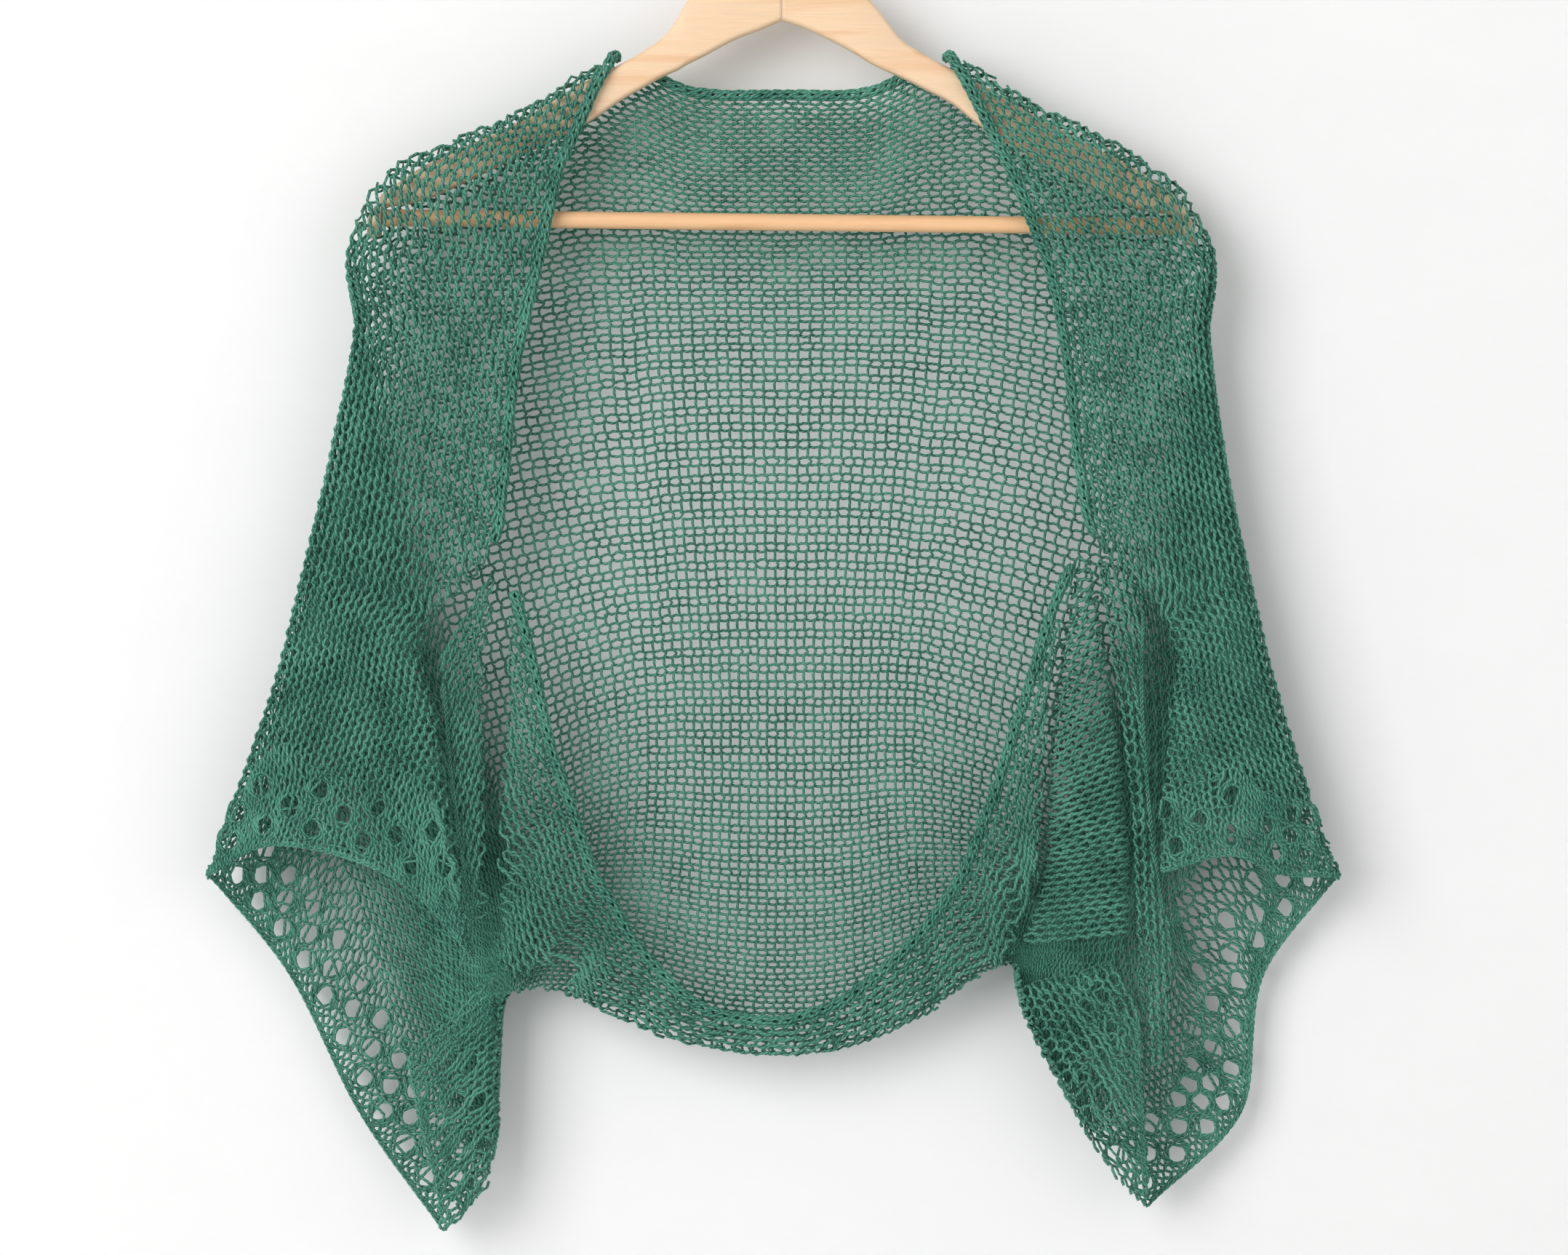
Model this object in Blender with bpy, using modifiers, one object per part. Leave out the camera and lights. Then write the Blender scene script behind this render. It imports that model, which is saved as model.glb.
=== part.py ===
"""Hand-knitted kimono cardigan (shrug) on a wooden hanger.

One rectangle knitted cuff to cuff (74 wales by 172 courses) is folded over the
hanger arms and sewn with one seam under each arm.  Left and right are the
viewer's.  The origin is the seat inside the hanger hook, +Z up, the front
faces -Y.  Tables are in millimetres: x to the right, drop below the hook seat,
depth y away from the viewer.
"""
import math

import bpy
import numpy as np

MM = 0.001
WALL = 2.0            # thickness of the knitted cloth
GAP = 0.3             # clearance between neighbouring pieces
RIM = 0.8             # clearance between a flat of cloth and the round edge beside it
FOLD = 0.014          # how far a folded edge stops short of the fold line
JOIN = 2.6            # clearance where a lace cuff carries on from a plain panel
TURN = 8.0            # radius of the cloth where it is folded over
CELL = 20.0           # size of one flat of cloth
ROLL = 2.6            # radius of the rolled selvedge at neck and hem
BIND = 1.8            # radius of the bound-off cuff edge
SEAM = 1.1            # radius of the sewn ridge under each arm
CUFF = 40.5           # depth of the lace cuff
EYELET_ROWS = ((7.0, 15.5), (17.5, 26.0), (28.0, 36.5))   # distance from the cuff edge
EYELET_STEP = 10.35   # half the distance from eyelet to eyelet
EYELET_BAR = 0.19     # share of a step left as a bar between eyelet columns
ACROSS = 15           # flats of cloth from neck edge to bottom fold
LOW = 14              # line across the back where its bottom strip begins
MEET = 0.6            # clearance where two flats of the back meet
LAST = 86.0           # courses from the middle of the back to a cuff edge

# Back of the garment: course, then (x, drop) at top or outer fold, upper, lower, bottom fold
BACK_LEFT = (
    (0, (0, 130), (0, 255), (0, 460), (0, 639)),
    (7, (-46, 129), (-44, 255), (-34, 460), (-38, 635)),
    (14, (-91, 114), (-87, 260), (-68, 462), (-78, 622)),
    (20, (-135, 140), (-126, 287), (-98, 477), (-106, 609)),
    (26, (-180, 160), (-161, 324), (-124, 502), (-129, 603)),
    (29, (-208, 173), (-177, 344), (-135, 513), (-136, 604)),
    (32, (-225, 202), (-192, 363), (-144, 523), (-142, 606)),
    (40, (-225, 253), (-205, 405), (-157, 543), (-147, 613)),
    (50, (-237, 317), (-218, 447), (-167, 569), (-149, 635)),
    (60, (-252, 381), (-230, 485), (-176, 598), (-150, 658)),
    (70, (-267, 441), (-247, 531), (-188, 627), (-151, 686)),
    (78, (-284, 491), (-257, 569), (-203, 654), (-161, 713)),
    (86, (-303, 545), (-261, 598), (-224, 671), (-179, 733)),
)
BACK_RIGHT = (
    (0, (0, 130), (0, 255), (0, 460), (0, 639)),
    (7, (45, 129), (44, 255), (34, 460), (38, 634)),
    (14, (90, 113), (88, 260), (68, 461), (74, 618)),
    (20, (136, 139), (128, 288), (100, 477), (98, 600)),
    (26, (182, 162), (163, 328), (128, 500), (115, 591)),
    (29, (208, 180), (179, 347), (137, 510), (120, 590)),
    (32, (224, 206), (193, 366), (146, 520), (122, 592)),
    (40, (225, 257), (209, 409), (155, 539), (124, 602)),
    (50, (233, 321), (222, 451), (163, 562), (130, 622)),
    (60, (246, 384), (236, 489), (176, 592), (146, 653)),
    (70, (261, 447), (245, 531), (197, 623), (163, 683)),
    (78, (277, 498), (253, 567), (222, 646), (180, 707)),
    (86, (294, 545), (254, 601), (244, 670), (193, 720)),
)
# Depth of the back: course, top edge, top, upper, lower, bottom, bottom edge
BACK_DEPTH = (
    (0, 9, 9, 13, 13, 8, 0),
    (11, 9, 9, 13, 13, 8, 0),
    (15, 0, 8.5, 13, 13, 8, 0),
    (40, 0, 9, 15, 15, 9, 0),
    (60, 0, 11, 17, 17, 10, 0),
    (86, 0, 12, 18, 18, 10, 0),
)
# Fronts: course, then (x, drop) at front edge or ridge, inner, outer, outer fold
FRONT_LEFT = (
    (14, (-89, 116), (-90, 115), (-90, 114), (-91, 114)),
    (20, (-107, 156), (-116, 151), (-126, 145), (-135, 140)),
    (26, (-116, 178), (-137, 172), (-159, 166), (-180, 160)),
    (29, (-121, 201), (-149, 192), (-179, 183), (-208, 173)),
    (32, (-126, 225), (-159, 217), (-192, 210), (-225, 202)),
    (40, (-137, 276), (-167, 269), (-196, 261), (-225, 253)),
    (50, (-144, 341), (-175, 332), (-206, 324), (-237, 317)),
    (55, (-150, 373), (-180, 364), (-212, 356), (-244, 349)),
    (60, (-183, 409), (-206, 397), (-229, 389), (-252, 381)),
    (70, (-180, 466), (-210, 455), (-238, 446), (-267, 441)),
    (78, (-173, 516), (-210, 499), (-247, 490), (-284, 491)),
    (86, (-161, 587), (-203, 545), (-264, 528), (-303, 545)),
)
FRONT_RIGHT = (
    (14, (88, 115), (89, 114), (90, 114), (90, 113)),
    (20, (106, 151), (116, 147), (126, 143), (136, 139)),
    (26, (123, 186), (143, 178), (162, 170), (182, 162)),
    (29, (130, 204), (154, 197), (180, 189), (208, 180)),
    (32, (137, 222), (166, 217), (195, 211), (224, 206)),
    (40, (147, 273), (173, 268), (199, 263), (225, 257)),
    (50, (155, 338), (181, 332), (207, 327), (233, 321)),
    (55, (162, 366), (186, 362), (212, 357), (239, 353)),
    (60, (199, 409), (215, 400), (231, 392), (246, 384)),
    (70, (203, 462), (222, 455), (242, 451), (261, 447)),
    (78, (200, 500), (226, 492), (251, 492), (277, 498)),
    (86, (199, 542), (234, 533), (260, 543), (294, 545)),
)
# Depth of the fronts: course, free edge, edge or ridge, inner, outer, fold, fold edge
FRONT_DEPTH = (
    (14, -9, -9, -9, -9, -8.5, 0),
    (26, -11, -11, -12, -12, -9, 0),
    (40, -13, -13, -15, -14, -9, 0),
    (55, -17, -17, -19, -17, -10, 0),
    (60, -15, -24, -23, -20, -11, 0),
    (86, -16.5, -25, -25, -21, -12, 0),
)
# Under side of the left sleeve: wale line, (x, drop) at inner fold, at seam or cuff edge
UNDER_LEFT = (
    (0, (-149, 378), (-180, 430)),
    (1, (-154, 412), (-178, 458)),
    (2, (-156, 443), (-175, 489)),
    (3, (-156, 474), (-171, 520)),
    (4, (-156, 504), (-167, 548)),
    (5, (-155, 539), (-164, 577)),
    (6, (-154, 569), (-178, 611)),
    (7, (-152, 594), (-195, 635)),
    (8, (-150, 619), (-193, 659)),
    (9, (-150, 648), (-187, 685)),
    (10, (-150, 677), (-181, 712)),
    (11, (-156, 709), (-179, 732)),
)
# Depth: wale line, fold edge, fold, seam side, seam edge
UNDER_LEFT_DEPTH = (
    (0, 3, -8, -9, -9),
    (2, 5, -12, -9.5, -9.5),
    (5, 4, -12, -9.5, -9.5),
    (8, 0, -12, -13, -13),
    (11, 0, -9, -11, -11),
)
# Low under side of the right sleeve: wale line, (x, drop) at tuck, middle, cuff edge
UNDER_RIGHT = (
    (0, (124, 602), (148, 658), (193, 720)),
    (1, (134, 599), (163, 644), (192, 697)),
    (2, (148, 596), (171, 631), (190, 668)),
    (3, (163, 592), (177, 614), (188, 640)),
    (4, (177, 589), (183, 600), (188, 612)),
)
UNDER_RIGHT_DEPTH = (
    (0, -1, -1.5, -1.5, -1.5, -1.5),
    (0.4, -1, -7, -8, -7, -7),
    (1, -1, -9, -13, -11, -11),
    (3, 2, -10, -14, -13, -13),
    (4, 2, -10, -11, -12, -12),
)
# Side panel that turns up under the right arm: row, (x, drop) at valley, at dark line
SIDE_RIGHT = (
    (0, (156, 374), (163, 378)),
    (1, (149.8, 409), (166, 397)),
    (2, (144.6, 437), (170, 422)),
    (3, (141.9, 466), (174, 447)),
    (4, (140.4, 493), (178, 477)),
    (5, (139.6, 520), (181, 508)),
    (6, (136.6, 546), (183, 539)),
    (7, (126.5, 580), (184, 574)),
)
SIDE_RIGHT_DEPTH = (
    (0, -5, -5, -7, -7, -4),
    (2, 2, -6, -11, -9, -1),
    (6, 2, -6, -11, -9, -1),
    (7, 2, -6, -9, -8, -1),
)
# Narrow fold between side panel and right front: row, (x, drop) at dark line, at gap or cuff edge
NARROW_RIGHT = (
    (0, (165.4, 378), (192, 389)),
    (1, (169.1, 401), (191, 420)),
    (2, (173.4, 428), (190, 451)),
    (3, (178.1, 460), (192, 481)),
    (4, (182.2, 493), (194, 508)),
    (5, (184.9, 527), (198, 537)),
    (6, (186.4, 562), (202, 562)),
    (7, (188, 592), (204, 589)),
    (8, (189, 619), (203, 619)),
    (9, (190, 646), (201, 640)),
)
NARROW_RIGHT_DEPTH = (
    (0, -2, -8, -12, -9, -9),
    (3, 3, -8, -13, -10, -6),
    (9, 3, -9, -12, -10, -10),
)
# Hem band turned to the front: row, (x, drop) at hem edge, at bottom or side fold
HEM_LEFT = (
    (0, (0, 618), (0, 639)),
    (1, (-29, 615), (-29, 637)),
    (2, (-48, 606), (-52, 632)),
    (3, (-65, 589), (-72, 625)),
    (4, (-77, 575), (-90, 617)),
    (5, (-86, 558), (-107, 609)),
    (6, (-96, 543), (-123, 603)),
    (7, (-103, 523), (-137, 599)),
    (8, (-109, 504), (-148, 589)),
    (9, (-116, 485), (-150, 563)),
    (10, (-121, 466), (-149, 534)),
    (11, (-125, 447), (-148, 504)),
    (12, (-129, 428), (-145, 476)),
    (13, (-134, 409), (-143, 447)),
    (14, (-140, 389), (-144, 414)),
)
HEM_RIGHT = (
    (0, (0, 618), (0, 639)),
    (1, (29, 608), (29, 635)),
    (2, (48, 594), (50, 628)),
    (3, (67, 577), (69, 618)),
    (4, (82, 558), (85, 607)),
    (5, (94, 539), (101, 598)),
    (6, (103, 516), (115, 591)),
    (7, (113, 489), (123, 580)),
    (8, (121, 462), (132, 556)),
    (9, (129, 439), (137, 522)),
    (10, (137, 414), (138, 484)),
    (11, (144, 394), (141, 442)),
    (12, (153, 374), (149, 400)),
)
# Depth: row, hem edge, edge side, middle, fold, fold edge
HEM_DEPTH = (
    (0, -5, -5, -7, -7, 0),
    (6, -7, -7, -9, -8, 0),
    (9, -8, -8, -10, -9, 4),
    (14, -9, -9, -10, -9, 3),
)
# Hanger arms: x, drop of the upper edge, drop of the lower edge
ARM_LEFT = (
    (-0.1, 62, 94), (-12, 63, 99), (-25, 68, 104), (-40, 77, 112), (-50, 84, 117),
    (-55, 93, 120), (-62, 102, 123), (-71, 109, 128), (-85, 117, 136), (-105, 127, 149),
    (-144, 150, 168), (-182, 167, 186), (-200, 178, 191), (-210.5, 185.5, 192.2),
    (-211, 186, 207), (-218, 198, 209),
)
ARM_RIGHT = (
    (0.1, 62, 94), (12, 62, 98), (25, 66, 104), (38, 74, 111), (46, 83, 116),
    (54, 93, 120), (63, 104, 124), (75, 112, 130), (90, 120, 138), (107, 129, 151),
    (144, 150, 173), (182, 170, 191), (202, 182, 195.5), (210.5, 189.5, 196.8),
    (211, 190, 211), (217, 202, 213),
)
ARM_HALF = 5.5        # half the thickness of the wood
ARM_ROUND = 3.0       # rounding of its corners
BAR = (209.8, 4.5, 197.6, 202.4)   # half length, radius, drop at the left end, drop at the right end
HOOK = (22.0, 2.0, 20.0)       # radius of the bend, radius of the wire, drop of its centre

ARM_KEYS = np.array((15, 18.5, 22, 25.5, 28, 29.5, 31, 33, 36.5, 40))
FRONT_KEYS = np.array((18.2, 20, 22, 25.5, 28, 29.5, 31, 33, 36.5, 40, 43.75, 47.5, 51.25, 55))
NECK_KEYS = np.linspace(-13.4, 13.4, 10)

PINE = (0.88, 0.62, 0.36, 1.0)
GREEN = (0.10, 0.33, 0.22, 1.0)
STEEL = (0.62, 0.62, 0.60, 1.0)


def blend(keys, values, at):
    """Smooth curve through table values, read at an array of places."""
    keys, values = np.asarray(keys, float), np.asarray(values, float)
    at = np.clip(np.asarray(at, float), keys[0], keys[-1])
    slope = np.gradient(values, keys, axis=0)
    i = np.clip(np.searchsorted(keys, at, side="right") - 1, 0, len(keys) - 2)
    form = (-1,) + (1,) * (values.ndim - 1)
    h = (keys[i + 1] - keys[i]).reshape(form)
    f = ((at - keys[i]) / (keys[i + 1] - keys[i])).reshape(form)
    return (values[i] * (1 + 2 * f) * (1 - f) ** 2 + slope[i] * h * f * (1 - f) ** 2
            + values[i + 1] * f * f * (3 - 2 * f) + slope[i + 1] * h * f * f * (f - 1))


def cross(lines, share):
    """Smooth curve across a panel through its lengthwise lines, at a share of the way."""
    parts = lines.shape[1] - 1
    slope = np.gradient(lines, axis=1)
    i = np.clip((share * parts).astype(int), 0, parts - 1)
    f = (share * parts - i)[:, None]
    r = np.arange(len(share))
    return (lines[r, i] * (1 + 2 * f) * (1 - f) ** 2 + slope[r, i] * f * (1 - f) ** 2
            + lines[r, i + 1] * f * f * (3 - 2 * f) + slope[r, i + 1] * f * f * (f - 1))


def bend(distance):
    """Quarter circle from 0 at a folded edge to 1 at the fold radius."""
    return np.sqrt(np.clip(1 - (1 - np.clip(distance / TURN, 0, 1)) ** 2, 0, 1))


def span(shape, key):
    """Width of a panel at each key."""
    lines = blend([r[0] for r in shape], [r[1:] for r in shape], key)
    return np.linalg.norm(np.diff(lines, axis=1), axis=2).sum(axis=1)


def place(shape, depth, key, share):
    """Points of a panel in millimetres (x, y, z up) at keys along it and shares across it."""
    key, share = np.broadcast_arrays(np.asarray(key, float), np.asarray(share, float))
    key, share = key.ravel(), share.ravel()
    lines = blend([r[0] for r in shape], [r[1:] for r in shape], key)
    level = np.array([np.interp(key, [r[0] for r in depth], [r[k] for r in depth])
                      for k in range(1, len(depth[0]))]).T
    flat = cross(lines, share)
    deep = cross(level[:, 1:-1, None], share)[:, 0]
    wide = np.linalg.norm(np.diff(lines, axis=1), axis=2).sum(axis=1)
    deep = (deep + (level[:, 0] - level[:, 1]) * (1 - bend(share * wide))
            + (level[:, -1] - level[:, -2]) * (1 - bend((1 - share) * wide)))
    return np.stack((flat[:, 0], deep, -flat[:, 1]), axis=1)


def slant(shape, depth, key, share):
    """Sine of the angle between the lengthwise and crosswise lines of a panel."""
    a = place(shape, depth, key + 0.15, share) - place(shape, depth, key - 0.15, share)
    b = (place(shape, depth, key, np.clip(share + 0.03, 0, 1))
         - place(shape, depth, key, np.clip(share - 0.03, 0, 1)))
    size = np.linalg.norm(np.cross(a, b), axis=1)
    return np.clip(size / (np.linalg.norm(a, axis=1) * np.linalg.norm(b, axis=1)), 0.45, 1)


def inset(shape, depth, keys, far):
    """Share of the way across at which a panel is a distance inside its first edge."""
    keys = np.asarray(keys, float)
    return far / (span(shape, keys) * slant(shape, depth, keys, np.zeros(len(keys))))


def material(name, colour, rough, metal=0.0):
    paint = bpy.data.materials.new(name)
    paint.use_nodes = True
    face = paint.node_tree.nodes["Principled BSDF"]
    face.inputs["Base Color"].default_value = colour
    face.inputs["Roughness"].default_value = rough
    face.inputs["Metallic"].default_value = metal
    paint.diffuse_color = colour
    return paint


def add(name, points, faces, group, colour, rough, metal=0.0):
    mesh = bpy.data.meshes.new(name)
    mesh.from_pydata([tuple(p * MM for p in q) for q in points], [], faces)
    mesh.update()
    thing = bpy.data.objects.new(name, mesh)
    thing.data.materials.append(material("mat_" + name, colour, rough, metal))
    group.objects.link(thing)
    return thing


def cloth(name, points, keep, group):
    """A knitted panel: a grid of points (rows, columns, 3) given the thickness of the cloth."""
    rows, cols = points.shape[:2]
    faces = [(i * cols + j, i * cols + j + 1, (i + 1) * cols + j + 1, (i + 1) * cols + j)
             for i in range(rows - 1) for j in range(cols - 1) if keep(i, j)]
    thing = add(name, points.reshape(-1, 3), faces, group, GREEN, 0.85)
    wall = thing.modifiers.new("wall", "SOLIDIFY")
    wall.thickness = WALL * MM
    wall.offset = 0.0
    wall.use_rim = True
    return thing


def whole(i, j):
    return True


def shares(wide, start, stop, bent_start, bent_stop, cells):
    """Places across a panel: close together in a folded edge, even between."""
    first = [start] + ([start + 2.5, start + TURN] if bent_start else [])
    final = ([TURN + stop, 2.5 + stop] if bent_stop else []) + [stop]
    out = np.empty((len(wide), len(first) + len(final) + cells - 1))
    for r, w in enumerate(wide):
        k = min(1.0, w / (2.4 * TURN + start + stop))
        a = [d * k for d in first]
        b = [w - d * k for d in final]
        between = [a[-1] + (b[0] - a[-1]) * c / cells for c in range(1, cells)]
        out[r] = [d / w for d in a + between + b]
    return out


def panel(name, shape, depth, keys, edges, cells, group, begin=None, end=None):
    """A panel between two keys; edges are (start, stop, bent start, bent stop) across it."""
    keys = np.asarray(keys, float)
    start, stop, bent_start, bent_stop = edges
    wide = span(shape, keys)
    first = start if bent_start else inset(shape, depth, keys, start) * wide
    first = np.broadcast_to(first, wide.shape)
    part = np.array([shares(wide[k:k + 1], first[k], stop, bent_start, bent_stop, cells)[0]
                     for k in range(len(keys))])
    f = ((keys - keys[0]) / (keys[-1] - keys[0]))[:, None]
    near = begin(part[0])[None, :] if begin is not None else keys[0]
    far = end(part[-1])[None, :] if end is not None else keys[-1]
    spread = near + f * (far - near) + 0 * part
    points = place(shape, depth, spread, part).reshape(spread.shape + (3,))
    return cloth(name, points, whole, group)


def back_to(shape, depth, far, edge=LAST, reach=-8):
    """Course at a distance (mm) from the cuff edge or from another course."""
    def course(part):
        at = np.full(len(part), float(edge))
        a = place(shape, depth, at, part)
        b = place(shape, depth, at + reach, part)
        rate = np.linalg.norm(a - b, axis=1) * slant(shape, depth, at, part) / abs(reach)
        return edge + np.sign(reach) * far / rate
    return course


def apart(line, towards):
    """A line of points moved a seam's clearance towards the next line."""
    step = towards - line
    return line + step * (MEET / np.linalg.norm(step, axis=1))[:, None]


def lace(name, shape, depth, edges, group):
    """The last courses of a sleeve panel with three rows of staggered eyelets."""
    wide = float(span(shape, [LAST])[0])
    start, stop = edges
    count = int((wide - start - stop - 8) / EYELET_STEP)
    step = (wide - start - stop - 6) / count
    cuts = [start, start + 3]
    for c in range(count):
        cuts += [start + 3 + step * (c + EYELET_BAR), start + 3 + step * (c + 1)]
    cuts.append(wide - stop)
    part = np.array(cuts) / wide
    heights = [BIND * 2 + 1.5 * RIM] + [h for pair in EYELET_ROWS for h in pair] + [CUFF]
    keys = np.array([back_to(shape, depth, h)(part) for h in heights])
    points = place(shape, depth, keys, np.repeat(part[None, :], len(heights), axis=0))
    points = points.reshape(keys.shape + (3,))

    def keep(i, j):
        column = (j - 2) // 2
        hole = i % 2 == 1 and j >= 2 and j % 2 == 0 and column < count
        return not (hole and (column + i // 2) % 2 == 0)
    return cloth(name, points, keep, group)


def lace_low(name, shape, depth, first, last, rest, group):
    """Eyelet rows of an under panel, whose wale lines end at the cuff edge."""
    fine = np.linspace(first, last, 60)
    line = place(shape, depth, fine, np.ones(60))
    far = np.concatenate(([0], np.cumsum(np.linalg.norm(np.diff(line, axis=0), axis=1))))
    count = int((far[-1] - 7) / EYELET_STEP)
    step = (far[-1] - 6) / count
    cuts = [0, 3]
    for c in range(count):
        cuts += [3 + step * (c + EYELET_BAR), 3 + step * (c + 1)]
    cuts.append(far[-1])
    keys = np.interp(cuts, far, fine)
    wide = span(shape, keys)
    lean = slant(shape, depth, keys, np.ones(len(keys)))
    edge = BIND * 2 + 1.2 * RIM
    size = np.minimum(1, (wide * lean - 2 - edge) / (CUFF - edge)) / lean
    heights = [BIND * 2 + 1.5 * RIM] + [h for pair in EYELET_ROWS for h in pair] + [CUFF]
    rows = [edge / lean + (h - edge) * size for h in heights]
    rows += [rows[-1] + (wide - FOLD - rows[-1]) * f for f in (0.45, 0.85, 1)[3 - rest:]] \
        if rest else []
    part = np.array([1 - h / wide for h in rows])
    spread = np.repeat(keys[None, :], len(rows), axis=0)
    points = place(shape, depth, spread, part).reshape(spread.shape + (3,))

    def keep(i, j):
        column = (j - 2) // 2
        hole = i in (1, 3, 5) and j >= 2 and j % 2 == 0 and column < count
        return not (hole and (column + i // 2) % 2 == 0)
    return cloth(name, points, keep, group)


def tube(name, path, radius, sides, group, colour=GREEN, rough=0.85, metal=0.0):
    """A closed round rod along a path of points in millimetres."""
    path = np.asarray(path, float)
    ahead = np.gradient(path, axis=0)
    ahead /= np.linalg.norm(ahead, axis=1)[:, None]
    side = np.cross(ahead[0], (0.3, 0.9, 0.2))
    points, faces = [], []
    for p, t in zip(path, ahead):
        side = side - t * np.dot(side, t)
        side = side / np.linalg.norm(side)
        other = np.cross(t, side)
        for s in range(sides):
            a = 2 * math.pi * s / sides
            points.append(p + radius * (side * math.cos(a) + other * math.sin(a)))
    for r in range(len(path) - 1):
        for s in range(sides):
            a, b = r * sides + s, r * sides + (s + 1) % sides
            faces.append((a, b, b + sides, a + sides))
    faces.append(tuple(reversed(range(sides))))
    faces.append(tuple(range((len(path) - 1) * sides, len(path) * sides)))
    return add(name, points, faces, group, colour, rough, metal)


def even(path, step):
    """The same path with points an even step apart."""
    path = np.asarray(path, float)
    far = np.concatenate(([0], np.cumsum(np.linalg.norm(np.diff(path, axis=0), axis=1))))
    at = np.linspace(0, far[-1], max(3, int(far[-1] / step) + 1))
    return np.stack([np.interp(at, far, path[:, k]) for k in range(3)], axis=1)


def edge_line(shape, depth, keys, far):
    """Line of a panel a distance inside its first edge."""
    return place(shape, depth, keys, inset(shape, depth, keys, far))


def arm(name, table, group):
    """One bent arm of the hanger: a rounded section at each row of its table."""
    points, faces = [], []
    for x, top, low in table:
        h, r = ARM_HALF, min(ARM_ROUND, (low - top) * 0.3)
        ring = ((-h, low - r), (-h, top + r), (r - h, top), (h - r, top),
                (h, top + r), (h, low - r), (h - r, low), (r - h, low))
        points += [(x, y, -d) for y, d in ring]
    count = len(table)
    for k in range(count - 1):
        for s in range(8):
            a, b = k * 8 + s, k * 8 + (s + 1) % 8
            faces.append((a, b, b + 8, a + 8))
    faces.append(tuple(reversed(range(8))))
    faces.append(tuple(range((count - 1) * 8, count * 8)))
    if table[-1][0] > 0:
        faces = [tuple(reversed(f)) for f in faces]
    return add(name, points, faces, group, PINE, 0.55)


def group(name):
    made = bpy.data.collections.new(name)
    bpy.context.scene.collection.children.link(made)
    return made


def sleeve(side, back, front):
    """Panels of one half that share the folded line over the arm."""
    body = group(side + "_sleeve_group")
    cuff = group(side + "_cuff_group")
    panel(side + "_front", front, FRONT_DEPTH, FRONT_KEYS,
          (2 * ROLL + 1.5 * RIM, FOLD, False, True), 3, body)
    # the front edge runs on under the arm and becomes the ridge of the sleeve
    panel(side + "_sleeve_front", front, FRONT_DEPTH, np.linspace(55.25, 80, 8),
          (FOLD, FOLD, True, True), 9, body, None, back_to(front, FRONT_DEPTH, CUFF + JOIN))
    panel(side + "_sleeve_back", back, BACK_DEPTH, np.linspace(40, 80, 12),
          (FOLD, FOLD, True, True), ACROSS, body, back_to(back, BACK_DEPTH, 1.4, 40, 1),
          back_to(back, BACK_DEPTH, CUFF + JOIN))
    lace(side + "_cuff_front", front, FRONT_DEPTH, (FOLD, FOLD), cuff)
    lace(side + "_cuff_back", back, BACK_DEPTH, (FOLD, FOLD), cuff)


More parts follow.
